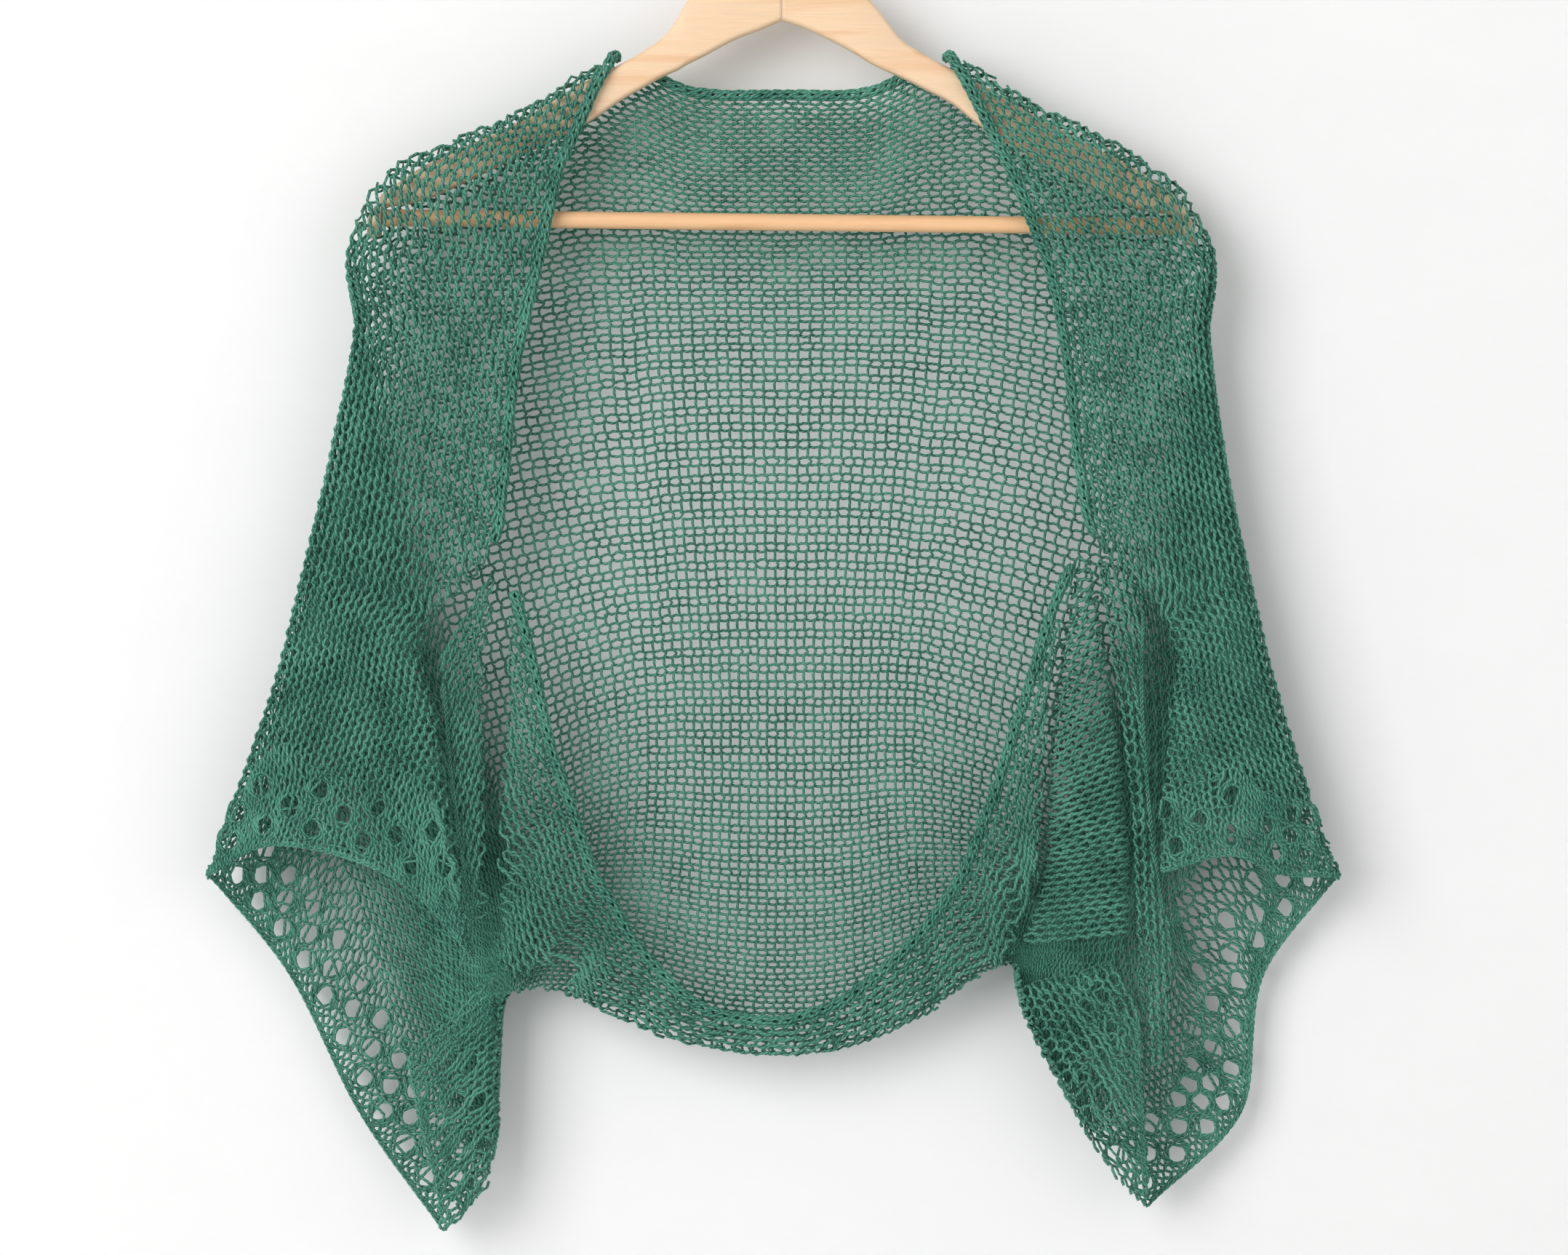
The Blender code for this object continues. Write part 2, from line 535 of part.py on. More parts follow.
def build():
    for thing in list(bpy.data.objects):
        bpy.data.objects.remove(thing)
    for made in list(bpy.data.collections):
        bpy.data.collections.remove(made)
    # back of the body, neck edge to bottom fold
    back = group("back_group")
    keys = np.concatenate((-ARM_KEYS[::-1], NECK_KEYS, ARM_KEYS))
    rows_left = [(-r[0],) + r[1:] for r in reversed(BACK_LEFT)]
    both = rows_left[:-1] + list(BACK_RIGHT)
    deep = [(-r[0],) + r[1:] for r in reversed(BACK_DEPTH)][:-1] + list(BACK_DEPTH)
    wide = span(both, keys)
    neck = np.where(np.abs(keys) < 14, inset(both, deep, keys, 2 * ROLL + 1.5 * RIM) * wide, FOLD)
    part = np.array([shares(wide[k:k + 1], neck[k], FOLD, True, True, ACROSS)[0]
                     for k in range(len(keys))])
    spread = np.repeat(keys[:, None], part.shape[1], axis=1)
    grid = place(both, deep, spread, part).reshape(spread.shape + (3,))
    # one sheet in six flats: three from cuff to cuff, each with a strip at the bottom fold
    near, far = len(ARM_KEYS), len(keys) - len(ARM_KEYS)
    flats = (("_left", grid[:near]), ("_right", grid[far:]),
             ("", np.concatenate((apart(grid[near - 1], grid[near])[None], grid[near:far],
                                  apart(grid[far], grid[far - 1])[None]))))
    for side, flat in flats:
        upper = np.concatenate((flat[:, :LOW], apart(flat[:, LOW], flat[:, LOW - 1])[:, None]),
                               axis=1)
        cloth("back_panel" + side, upper, whole, back)
        cloth("back_low" + side, flat[:, LOW:], whole, back)

    sleeve("left", BACK_LEFT, FRONT_LEFT)
    sleeve("right", BACK_RIGHT, FRONT_RIGHT)

    # under sides of the sleeves
    under = group("under_group")
    low_keys = np.linspace(0, 6.93, 13)
    panel("left_sleeve_under", UNDER_LEFT, UNDER_LEFT_DEPTH, low_keys,
          (FOLD, GAP / 2, True, False), 2, under)
    lace_low("left_cuff_under", UNDER_LEFT, UNDER_LEFT_DEPTH, 7.0, 11.0, 2, under)
    panel("right_side_panel", SIDE_RIGHT, SIDE_RIGHT_DEPTH, np.linspace(0, 7, 12),
          (FOLD, FOLD, True, True), 2, under)
    fold_keys = np.linspace(0, 9, 16)
    panel("right_sleeve_fold", NARROW_RIGHT, NARROW_RIGHT_DEPTH, fold_keys,
          (FOLD, GAP / 2, True, False), 1, under)
    lace_low("right_cuff_under", UNDER_RIGHT, UNDER_RIGHT_DEPTH, 0.05, 3.7, 3, under)

    # hem band turned up at the front, rolled selvedges, bound-off cuffs, sewn seams
    hem = group("hem_group")
    edges = group("edge_group")
    lines = []
    for side, table in (("left", HEM_LEFT), ("right", HEM_RIGHT)):
        keys = np.linspace(0.02, table[-1][0], 20)
        panel(side + "_hem_band", table, HEM_DEPTH, keys[:-2],
              (2 * ROLL + 2.4 * RIM, 3 * FOLD, False, True), 3, hem)
        lines.append(edge_line(table, HEM_DEPTH, keys, ROLL))
    tube("hem_edge", np.concatenate((lines[0][::-1], lines[1][1:])), ROLL, 5, edges)
    tube("back_neck_edge", edge_line(both, deep, np.concatenate(([-12.6], NECK_KEYS[1:-1],
         [12.6])), ROLL), ROLL, 5, edges)
    for side, front, s in (("left", FRONT_LEFT, -1), ("right", FRONT_RIGHT, 1)):
        over = np.array(((86.8 * s, 6.5, -113.5), (88 * s, 2.5, -111), (88.5 * s, -3, -111.5),
                         (90.5 * s, -8, -116.5)))
        line = edge_line(front, FRONT_DEPTH, np.concatenate(([16, 17], FRONT_KEYS)), ROLL)
        tube(side + "_front_edge", np.concatenate((over, line)), ROLL, 5, edges)
    for side, front, back, low, first, last in (
            ("left", FRONT_LEFT, BACK_LEFT, UNDER_LEFT, 10.5, 7.25),
            ("right", FRONT_RIGHT, BACK_RIGHT, UNDER_RIGHT, 0.3, 3.7)):
        deep_low = UNDER_LEFT_DEPTH if side == "left" else UNDER_RIGHT_DEPTH
        part = shares(span(front, [LAST]), FOLD, FOLD, True, True, 13)[0]
        a = place(front, FRONT_DEPTH, back_to(front, FRONT_DEPTH, BIND)(part), part)
        part = shares(span(back, [LAST]), FOLD, 1.0, True, True, 18)[0]
        b = place(back, BACK_DEPTH, back_to(back, BACK_DEPTH, BIND)(part), part)
        tube(side + "_cuff_edge", np.concatenate((a[:-1], b)), BIND, 5, edges)
        keys = np.linspace(first, last, 14)
        lean = slant(low, deep_low, keys, np.ones(len(keys)))
        c = place(low, deep_low, keys, 1 - BIND / (span(low, keys) * lean))
        tube(side + "_cuff_edge_under", even(c, 8), BIND, 5, edges)
    out = np.array((0, -(WALL / 2 + 1.5 * RIM + SEAM), 0))
    keys = low_keys[1:-2]
    tube("left_sleeve_seam", out + place(UNDER_LEFT, UNDER_LEFT_DEPTH, keys,
         1 - 3.4 / span(UNDER_LEFT, keys)), SEAM, 5, edges)
    keys = fold_keys[1:11]
    tube("right_sleeve_seam", 0.7 * out + place(NARROW_RIGHT, NARROW_RIGHT_DEPTH, keys,
         1 - 2.4 / span(NARROW_RIGHT, keys)), SEAM, 5, edges)

    # wooden hanger
    frame = group("hanger_group")
    arm("hanger_arm_left", ARM_LEFT, frame)
    arm("hanger_arm_right", ARM_RIGHT, frame)
    long, thick, left, right = BAR
    tube("hanger_bar", [(x, 0, -(left + (right - left) * (x + long) / (2 * long)))
                        for x in np.linspace(-long, long, 9)], thick, 10, frame, PINE, 0.55)
    bow, wire, mid = HOOK
    turn = [(bow * math.cos(math.radians(a)), 0, -mid + bow * math.sin(math.radians(a)))
            for a in range(-50, 206, 17)]
    stem = [(0, 0, -61.8), (0, 0, -51), (2.5, 0, -45.5), (8, 0, -40.5)]
    tube("hanger_hook", stem + turn, wire, 7, frame, STEEL, 0.3, 1.0)


build()
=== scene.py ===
"""Looks of a hand-knitted kimono cardigan hung on a wooden hanger.

Tables are in millimetres: x to the viewer's right, drop below the hook seat,
depth away from the viewer.  Courses are counted from the middle of the back,
wales from the neck and front edge.
"""
import math

import bpy
import numpy as np
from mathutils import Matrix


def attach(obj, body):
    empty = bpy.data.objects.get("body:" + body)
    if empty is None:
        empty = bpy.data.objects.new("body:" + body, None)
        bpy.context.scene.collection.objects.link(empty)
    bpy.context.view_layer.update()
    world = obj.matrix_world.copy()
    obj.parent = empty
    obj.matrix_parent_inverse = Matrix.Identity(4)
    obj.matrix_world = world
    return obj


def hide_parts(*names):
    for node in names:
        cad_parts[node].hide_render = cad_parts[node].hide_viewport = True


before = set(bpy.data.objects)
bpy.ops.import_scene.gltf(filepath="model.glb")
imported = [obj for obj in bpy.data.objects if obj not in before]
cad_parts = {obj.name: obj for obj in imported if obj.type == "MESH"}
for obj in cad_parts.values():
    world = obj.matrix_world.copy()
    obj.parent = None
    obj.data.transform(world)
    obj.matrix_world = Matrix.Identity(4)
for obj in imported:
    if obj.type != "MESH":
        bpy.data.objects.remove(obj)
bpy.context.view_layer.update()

# ---------------------------------------------------------------- hanger arms
# Two bent arms of light pine, sawn from 11 mm board, sanded round at the edges
# and given one coat of clear satin lacquer.  They are joined at the middle.
ARM_LEFT = (
    (-0.1, 62, 94), (-12, 63, 99), (-25, 68, 104), (-40, 77, 112), (-50, 84, 117),
    (-55, 93, 120), (-62, 102, 123), (-71, 109, 128), (-85, 117, 136), (-105, 127, 149),
    (-144, 150, 168), (-182, 167, 186), (-200, 178, 191), (-210.5, 185.5, 192.2),
    (-211, 186, 207), (-218, 198, 209),
)
ARM_RIGHT = (
    (0.1, 62, 94), (12, 62, 98), (25, 66, 104), (38, 74, 111), (46, 83, 116),
    (54, 93, 120), (63, 104, 124), (75, 112, 130), (90, 120, 138), (107, 129, 151),
    (144, 150, 173), (182, 170, 191), (202, 182, 195.5), (210.5, 189.5, 196.8),
    (211, 190, 211), (217, 202, 213),
)
ARM_HALF = 5.5          # half the thickness of the board
ARM_ROUND = 3.0         # rounding of its edges
PALE_PINE = (0.93, 0.665, 0.43)
GRAIN_PINE = (0.86, 0.53, 0.30)


def eased(start, start_slope, end, end_slope, f):
    """Smooth curve from one value to the next, with its slope at both."""
    return (start * (1 + 2 * f) * (1 - f) ** 2 + start_slope * f * (1 - f) ** 2
            + end * f * f * (3 - 2 * f) + end_slope * f * f * (f - 1))


def blend(keys, values, at):
    """Smooth curve through table values, read at an array of places."""
    keys, values = np.asarray(keys, float), np.asarray(values, float)
    at = np.clip(np.asarray(at, float), keys[0], keys[-1])
    slope = np.gradient(values, keys, axis=0)
    i = np.clip(np.searchsorted(keys, at, side="right") - 1, 0, len(keys) - 2)
    form = (-1,) + (1,) * (values.ndim - 1)
    h = (keys[i + 1] - keys[i]).reshape(form)
    f = ((at - keys[i]) / (keys[i + 1] - keys[i])).reshape(form)
    return eased(values[i], slope[i] * h, values[i + 1], slope[i + 1] * h, f)


def link(tree, start, socket, end, name):
    tree.links.new(start.outputs[socket], end.inputs[name])


def settle(made, **values):
    """Sets a node's own values, or else its inputs, by name."""
    for name, value in values.items():
        if hasattr(made, name):
            setattr(made, name, value)
        else:
            made.inputs[name.replace("_", " ")].default_value = value
    return made


def node(tree, kind, **values):
    return settle(tree.nodes.new("ShaderNode" + kind), **values)


def noise(tree, start, socket, **values):
    made = node(tree, "TexNoise", **values)
    link(tree, start, socket, made, "Vector")
    return made


def ramp(tree, start, stops):
    """Colour read off a scale of stops by a node's first value."""
    made = node(tree, "ValToRGB")
    link(tree, start, 0, made, "Fac")
    bands = made.color_ramp.elements
    while len(bands) < len(stops):
        bands.new(0.5)
    for band, (at, colour) in zip(bands, stops):
        band.position = at
        band.color = (*colour, 1)
    return made


def polish(tree, face, start, low, high):
    """Roughness that wanders between two values."""
    rough = node(tree, "MapRange", To_Min=low, To_Max=high)
    link(tree, start, "Fac", rough, "Value")
    link(tree, rough, "Result", face, "Roughness")


def relief(tree, face, start, strength, depth):
    bump = node(tree, "Bump", Strength=strength, Distance=depth)
    link(tree, start, 0, bump, "Height")
    link(tree, bump, "Normal", face, "Normal")


def empty_material(name):
    paint = bpy.data.materials.new(name)
    paint.use_nodes = True
    tree = paint.node_tree
    return paint, tree, tree.nodes["Principled BSDF"]


def lacquered_pine(name, turn, pale=PALE_PINE, grain=GRAIN_PINE):
    """Pine whose growth rings run lengthwise; turn lines the grain up with the board."""
    paint, tree, face = empty_material(name)
    place_in = node(tree, "TexCoord")
    lain = (0, math.radians(turn), 0)
    lie = node(tree, "Mapping", Rotation=lain, Scale=(2.2, 40, 34))
    thin = node(tree, "Mapping", Rotation=lain, Scale=(30, 900, 900))
    link(tree, place_in, "Object", lie, "Vector")
    link(tree, place_in, "Object", thin, "Vector")
    rings = noise(tree, lie, "Vector", Scale=1.6, Detail=5, Roughness=0.6, Distortion=1.2)
    pores = noise(tree, thin, "Vector", Scale=1.0, Detail=3, Roughness=0.7)
    tone = ramp(tree, rings, (
        (0.30, grain), (0.46, pale), (0.62, tuple(c * 0.97 for c in pale)),
        (0.80, tuple(0.5 * (a + b) for a, b in zip(pale, grain)))))
    fleck = node(tree, "Mix", data_type="RGBA", blend_type="MULTIPLY")
    fleck.inputs[0].default_value = 0.18
    link(tree, tone, "Color", fleck, 6)
    link(tree, pores, "Fac", fleck, 7)
    link(tree, fleck, 2, face, "Base Color")
    polish(tree, face, pores, 0.38, 0.56)
    relief(tree, face, pores, 0.12, 0.0004)
    settle(face, Coat_Weight=0.12, Coat_Roughness=0.3)
    return paint


def put(name, data):
    thing = bpy.data.objects.new(name, data)
    bpy.context.scene.collection.objects.link(thing)
    return thing


def add_mesh(name, points, quads, paint, slot, nodes, uv=None):
    """A smooth mesh of quads from points in millimetres, riding on the one body."""
    mesh = bpy.data.meshes.new(name)
    mesh.vertices.add(len(points))
    mesh.vertices.foreach_set("co", (np.asarray(points) * 0.001).ravel())
    mesh.loops.add(4 * len(quads))
    mesh.loops.foreach_set("vertex_index", np.asarray(quads).ravel())
    mesh.polygons.add(len(quads))
    mesh.polygons.foreach_set("loop_start", np.arange(0, 4 * len(quads), 4))
    mesh.polygons.foreach_set("use_smooth", np.ones(len(quads), bool))
    if uv is not None:
        mesh.uv_layers.new(name="along_yarn").data.foreach_set("uv", np.asarray(uv).ravel())
    mesh.update(calc_edges=True)
    mesh.validate()
    thing = put(name, mesh)
    mesh.materials.append(paint)
    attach(thing, "root")
    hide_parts(*nodes)
    return thing


def swept(rings):
    """Quads over a row of closed rings, with the ends closed by quads; rings is (n, m, 3)."""
    count, sides = rings.shape[:2]
    a = (np.arange(count - 1)[:, None] * sides + np.arange(sides)[None]).ravel()
    b = (np.arange(count - 1)[:, None] * sides + (np.arange(sides)[None] + 1) % sides).ravel()
    quads = [np.stack((a, b, b + sides, a + sides), axis=1)]
    half = sides // 2
    for k in range(half - 1):
        quads.append([[sides - 1 - k, sides - 2 - k, k + 1, k]])
        last = (count - 1) * sides
        quads.append([[last + k, last + k + 1, last + sides - 2 - k, last + sides - 1 - k]])
    return rings.reshape(-1, 3), np.concatenate([np.asarray(q) for q in quads])


def board(name, table, turn):
    """One arm: rounded sections along a table of x, top and bottom, with a square end."""
    rows, ends = np.array(table), 3
    at = np.concatenate((np.linspace(0, len(rows) - 1 - ends, 90),
                         np.arange(len(rows) - ends, len(rows))))
    smooth = blend(np.arange(len(rows)), rows, at)
    smooth[-ends:] = rows[-ends:]
    rings = []
    for x, top, low in smooth:
        r = min(ARM_ROUND, (low - top) * 0.3)
        ring = []
        for cy, cz, start in ((ARM_HALF - r, -low + r, -90), (ARM_HALF - r, -top - r, 0),
                              (r - ARM_HALF, -top - r, 90), (r - ARM_HALF, -low + r, 180)):
            for a in np.radians(np.linspace(start, start + 90, 5)):
                ring.append((x, cy + r * math.cos(a), cz + r * math.sin(a)))
        rings.append(ring)
    rings = np.array(rings)
    if rows[-1, 0] < 0:
        rings = rings[:, ::-1]
    add_mesh("wood_" + name, *swept(rings), lacquered_pine("pine_" + name, turn), "pine", [name])


board("hanger_arm_left", ARM_LEFT, -28)
board("hanger_arm_right", ARM_RIGHT, 28)

# ---------------------------------------------------------------- trouser bar
# A round pine dowel, 9 mm thick, glued between the ends of the two arms.
BAR_LONG, BAR_THICK, BAR_LEFT_DROP, BAR_RIGHT_DROP = 209.8, 4.5, 197.6, 202.4


def unit(ways, least=0):
    """The same directions, each of length one; least guards those that may have no length."""
    return ways / (np.linalg.norm(ways, axis=1)[:, None] + least)


def round_rod(path, radius, sides):
    """Rings of a round rod along a path of points in millimetres."""
    ahead = unit(np.gradient(path, axis=0))
    side = np.cross(ahead[0], (0.3, 0.9, 0.2))
    turn = (np.arange(sides) * 2 * math.pi / sides)[:, None]
    rings = []
    for p, t in zip(path, ahead):
        side = side - t * np.dot(side, t)
        side = side / np.linalg.norm(side)
        rings.append(p + radius * (np.cos(turn) * side + np.sin(turn) * np.cross(t, side)))
    return np.array(rings)


bar_x = np.linspace(-BAR_LONG, BAR_LONG, 60)
bar_z = -np.interp(bar_x, (-BAR_LONG, BAR_LONG), (BAR_LEFT_DROP, BAR_RIGHT_DROP))
bar = round_rod(np.stack((bar_x, 0 * bar_x, bar_z), axis=1), BAR_THICK, 24)
add_mesh("wood_hanger_bar", *swept(bar),
         lacquered_pine("pine_bar", 0, (0.93, 0.56, 0.30), (0.78, 0.42, 0.19)), "pine",
         ["hanger_bar"])

# ---------------------------------------------------------------- hook
# A 4 mm plated steel wire bent to a hook and screwed into the joint of the arms.
HOOK_BEND, HOOK_WIRE, HOOK_DROP = 22.0, 2.0, 20.0
plated_steel, tree, face = empty_material("plated_steel")
settle(face, Metallic=1.0)
drawn = noise(tree, node(tree, "TexCoord"), "Object", Scale=420.0, Detail=4, Roughness=0.6)
tone = ramp(tree, drawn, ((0.3, (0.56, 0.56, 0.55)), (0.7, (0.70, 0.70, 0.68))))
link(tree, tone, "Color", face, "Base Color")
polish(tree, face, drawn, 0.16, 0.34)

turn = np.radians(np.linspace(-50, 205, 70))
bow = np.stack((HOOK_BEND * np.cos(turn), 0 * turn,
                -HOOK_DROP + HOOK_BEND * np.sin(turn)), axis=1)
stem = np.array(((0, 0, -61.8), (0, 0, -56), (0, 0, -51), (2.5, 0, -45.5), (8, 0, -40.5)))
stem = blend(np.arange(5), stem, np.linspace(0, 4, 20))
add_mesh("wire_hanger_hook", *swept(round_rod(np.concatenate((stem, bow)), HOOK_WIRE, 16)),
         plated_steel, "hook_steel", ["hanger_hook"])

# ---------------------------------------------------------------- back of the body and sleeves
# One rectangle of stockinette, 74 wales by 172 courses, in plied cotton on big
# needles, knitted from the left cuff to the right cuff.  The back half hangs
# from the arms; through the open front its purl side shows as a net.
BACK_LEFT = (
    (0, (0, 130), (0, 255), (0, 460), (0, 639)),
    (7, (-46, 129), (-44, 255), (-34, 460), (-38, 635)),
    (14, (-91, 114), (-87, 260), (-68, 462), (-78, 622)),
    (20, (-135, 140), (-126, 287), (-98, 477), (-106, 609)),
    (26, (-180, 160), (-161, 324), (-124, 502), (-129, 603)),
    (29, (-208, 173), (-177, 344), (-135, 513), (-136, 604)),
    (32, (-225, 202), (-192, 363), (-144, 523), (-142, 606)),
    (40, (-225, 253), (-205, 405), (-157, 543), (-147, 613)),
    (50, (-237, 317), (-218, 447), (-167, 569), (-149, 635)),
    (60, (-252, 381), (-230, 485), (-176, 598), (-150, 658)),
    (70, (-267, 441), (-247, 531), (-188, 627), (-151, 686)),
    (78, (-284, 491), (-257, 569), (-203, 654), (-161, 713)),
    (86, (-303, 545), (-261, 598), (-224, 671), (-179, 733)),
)
BACK_RIGHT = (
    (0, (0, 130), (0, 255), (0, 460), (0, 639)),
    (7, (45, 129), (44, 255), (34, 460), (38, 634)),
    (14, (90, 113), (88, 260), (68, 461), (74, 618)),
    (20, (136, 139), (128, 288), (100, 477), (98, 600)),
    (26, (182, 162), (163, 328), (128, 500), (115, 591)),
    (29, (208, 180), (179, 347), (137, 510), (120, 590)),
    (32, (224, 206), (193, 366), (146, 520), (122, 592)),
    (40, (225, 257), (209, 409), (155, 539), (124, 602)),
    (50, (233, 321), (222, 451), (163, 562), (130, 622)),
    (60, (246, 384), (236, 489), (176, 592), (146, 653)),
    (70, (261, 447), (245, 531), (197, 623), (163, 683)),
    (78, (277, 498), (253, 567), (222, 646), (180, 707)),
    (86, (294, 545), (254, 601), (244, 670), (193, 720)),
)
# Depth of the back: course, top edge, top, upper, lower, bottom, bottom edge
BACK_DEPTH = (
    (0, 9, 9, 13, 13, 8, 0), (11, 9, 9, 13, 13, 8, 0), (15, 0, 8.5, 13, 13, 8, 0),
    (40, 0, 9, 15, 15, 9, 0), (60, 0, 11, 17, 17, 10, 0), (86, 0, 12, 18, 18, 10, 0),
)
# Wale at the top edge or outer fold, and at the bottom fold, by course
BACK_WALES = ((0, 0, 70), (13, 0, 70), (14, 0.4, 70), (20, 4.4, 69), (26, 8.8, 68),
              (32, 13, 67), (40, 13, 62), (50, 13, 56), (55, 13, 53), (60, 13, 50),
              (70, 13, 47), (86, 13, 45))
# The weight of the cloth opens the wales at the middle of the back: share of
# the wales, share of the way down
SPREAD = ((0, 0.126, 0.212, 0.271, 0.331, 0.433, 0.529, 0.626,
           0.676, 0.728, 0.784, 0.846, 0.923, 1),
          (0, 0.13, 0.227, 0.293, 0.356, 0.46, 0.554, 0.651,
           0.704, 0.76, 0.817, 0.875, 0.941, 1))
# How far the stitches are pulled out straight there, by wale
EVEN_AT = ((0, 8, 21, 56, 70), (0, 0.25, 1, 1, 0.5))
LAST = 86.0             # courses from the middle of the back to a cuff edge
NECK_END, BODY_END = 13.6, 40.3   # courses to the corner of the neck, and to the sleeve
CUFF = 40.5             # depth of the lace cuff
TURN = 8.0              # radius of the cloth where it is folded over
YARN, TAUT = 0.86, 0.75   # radius of the yarn, and where the back stretches it
WALE, COURSE = 6.8, 6.5   # size of one stitch before the garment is hung
WIDEST = 1.8            # most that the place of a hung stitch counts for, in such stitches
STEPS = 10              # points on one stitch
LEAP = 12.0             # a row is cut where its next point is further away than this
ROLLED = 4.4            # width of cloth that is rolled up at an open edge
TINY = 1e-9             # added to a length that may be nothing before dividing by it
WANDER_ROWS, WANDER_WALES = 260, 140   # stitches before the unevenness repeats
# greens of the yarn, light to dark; the ply twist swings the colour between them as painted shade
# in its grooves and lighter crests, the dye noise as real unevenness
LEAF, MID, DEEP = (0.125, 0.375, 0.275), (0.052, 0.205, 0.148), (0.012, 0.075, 0.055)
PLY_TURN = 3.2          # length of one turn of the plies
SIDES = (("left", -1), ("right", 1))

hand = np.random.default_rng(74172)


def cross(lines, share):
    """Smooth curve across a panel through its lengthwise lines, at a share of the way."""
    parts = lines.shape[1] - 1
    slope = np.gradient(lines, axis=1)
    i = np.clip((share * parts).astype(int), 0, parts - 1)
    r = np.arange(len(share))
    return eased(lines[r, i], slope[r, i], lines[r, i + 1], slope[r, i + 1],
                 (share * parts - i)[:, None])


def bend(distance):
    """Quarter circle from 0 at a folded edge to 1 at the fold radius."""
    return np.sqrt(np.clip(1 - (1 - np.clip(distance / TURN, 0, 1)) ** 2, 0, 1))


def lines_of(shape, key):
    """Points of a panel's lengthwise lines at each key."""
    return blend([r[0] for r in shape], [r[1:] for r in shape], key)


def width_of(lines):
    return np.linalg.norm(np.diff(lines, axis=1), axis=2).sum(axis=1)


def span(shape, key):
    """Width of a panel at each key."""
    return width_of(lines_of(shape, key))


def place(shape, depth, key, share):
    """Points of a panel in millimetres (x, y, z up) at keys along it and shares across it."""
    key, share = np.broadcast_arrays(np.asarray(key, float), np.asarray(share, float))
    key, share = key.ravel(), share.ravel()
    lines = lines_of(shape, key)
    depth_keys, *levels = zip(*depth)
    level = np.array([np.interp(key, depth_keys, one) for one in levels]).T
    flat = cross(lines, share)
    deep = cross(level[:, 1:-1, None], share)[:, 0]
    wide = width_of(lines)
    deep = (deep + (level[:, 0] - level[:, 1]) * (1 - bend(share * wide))
            + (level[:, -1] - level[:, -2]) * (1 - bend((1 - share) * wide)))
    return np.stack((flat[:, 0], deep, -flat[:, 1]), axis=1)


def slant(shape, depth, key, share):
    """Sine of the angle between the lengthwise and crosswise lines of a panel."""
    a = place(shape, depth, key + 0.15, share) - place(shape, depth, key - 0.15, share)
    b = (place(shape, depth, key, np.clip(share + 0.03, 0, 1))
         - place(shape, depth, key, np.clip(share - 0.03, 0, 1)))
    size = np.linalg.norm(np.cross(a, b), axis=1)
    return np.clip(size / (np.linalg.norm(a, axis=1) * np.linalg.norm(b, axis=1)), 0.45, 1)


def on_panel(shape, depth, table_of, face, warp=None):
    """Surface of a panel: wale and course to a point and the normal of its knit side."""
    first, last = shape[0][0], shape[-1][0]

    def at(key, share):
        return place(shape, depth, np.clip(key, first, last), np.clip(share, 0, 1))

    def surface(wale, course):
        key, share = table_of(wale, course)
        if warp is not None:
            key, share = warp(key, share)
        key = np.clip(key, first, last)
        # what passes a folded edge goes on round the fold
        share = np.clip(share, -0.1, 1.1)
        past = (share < 0) | (share > 1)
        fold = at(key, share)[:, 1]
        share = np.where(share < 0, -share, np.where(share > 1, 2 - share, share))
        near = 0.4 / np.maximum(span(shape, key), 1)
        p = at(key, share)
        normal = unit(np.cross(at(key + 0.02, share) - at(key - 0.02, share),
                               at(key, share + near) - at(key, share - near)), TINY)
        normal *= np.sign(np.median(normal[:, 1]) * face)
        p[:, 1] = np.where(past, 2 * fold - p[:, 1], p[:, 1])
        normal[:, 1] *= np.where(past, -1, 1)
        return p, normal
    return surface


def length_along(path):
    """Distance of each point of a path from its start."""
    return np.concatenate(([0], np.cumsum(np.linalg.norm(np.diff(path, axis=0), axis=1))))


def sweep_yarn(name, runs, radius, slot, nodes):
    """One object of round yarn laid along runs of (points, reference normals, place)."""
    points, quads, uvs, total = [], [], [], 0
    for path, normal, _ in runs:
        ahead = unit(np.gradient(path, axis=0), TINY)
        side = unit(np.cross(ahead, normal), TINY)
        other = np.cross(ahead, side)
        p, q = swept(np.stack([path + radius * way for way in (side, other, -side, -other)],
                              axis=1))
        far = length_along(path) + hand.uniform(0, 3)
        around = np.tile(np.arange(4) / 4, len(path) - 1)
        low, high = np.repeat(far[:-1], 4), np.repeat(far[1:], 4)
        corners = ((low, around), (low, around + 0.25), (high, around + 0.25), (high, around))
        uv = np.stack([np.stack(corner, 1) for corner in corners], axis=1)
        points.append(p)
        quads.append(q + total)
        uvs.append(np.concatenate((uv, np.zeros((len(q) - len(uv), 4, 2)))))
        total += len(p)
    return add_mesh(name, np.concatenate(points), np.concatenate(quads), green_cotton, slot,
                    nodes, np.concatenate(uvs))


wander = hand.normal(0, 1, (5, WANDER_ROWS, WANDER_WALES))


def uneven(kind, wale, course, size):
    """Smooth random wander of a stitch's shape, the same wherever the stitch is asked for."""
    row = (np.floor(course).astype(int) + 100) % WANDER_ROWS
    i = np.floor(wale).astype(int)
    f = wale - i
    f = f * f * (3 - 2 * f)
    now, then = (wander[kind][row, (i + k) % WANDER_WALES] for k in (30, 31))
    return size * (now * (1 - f) + then * f)


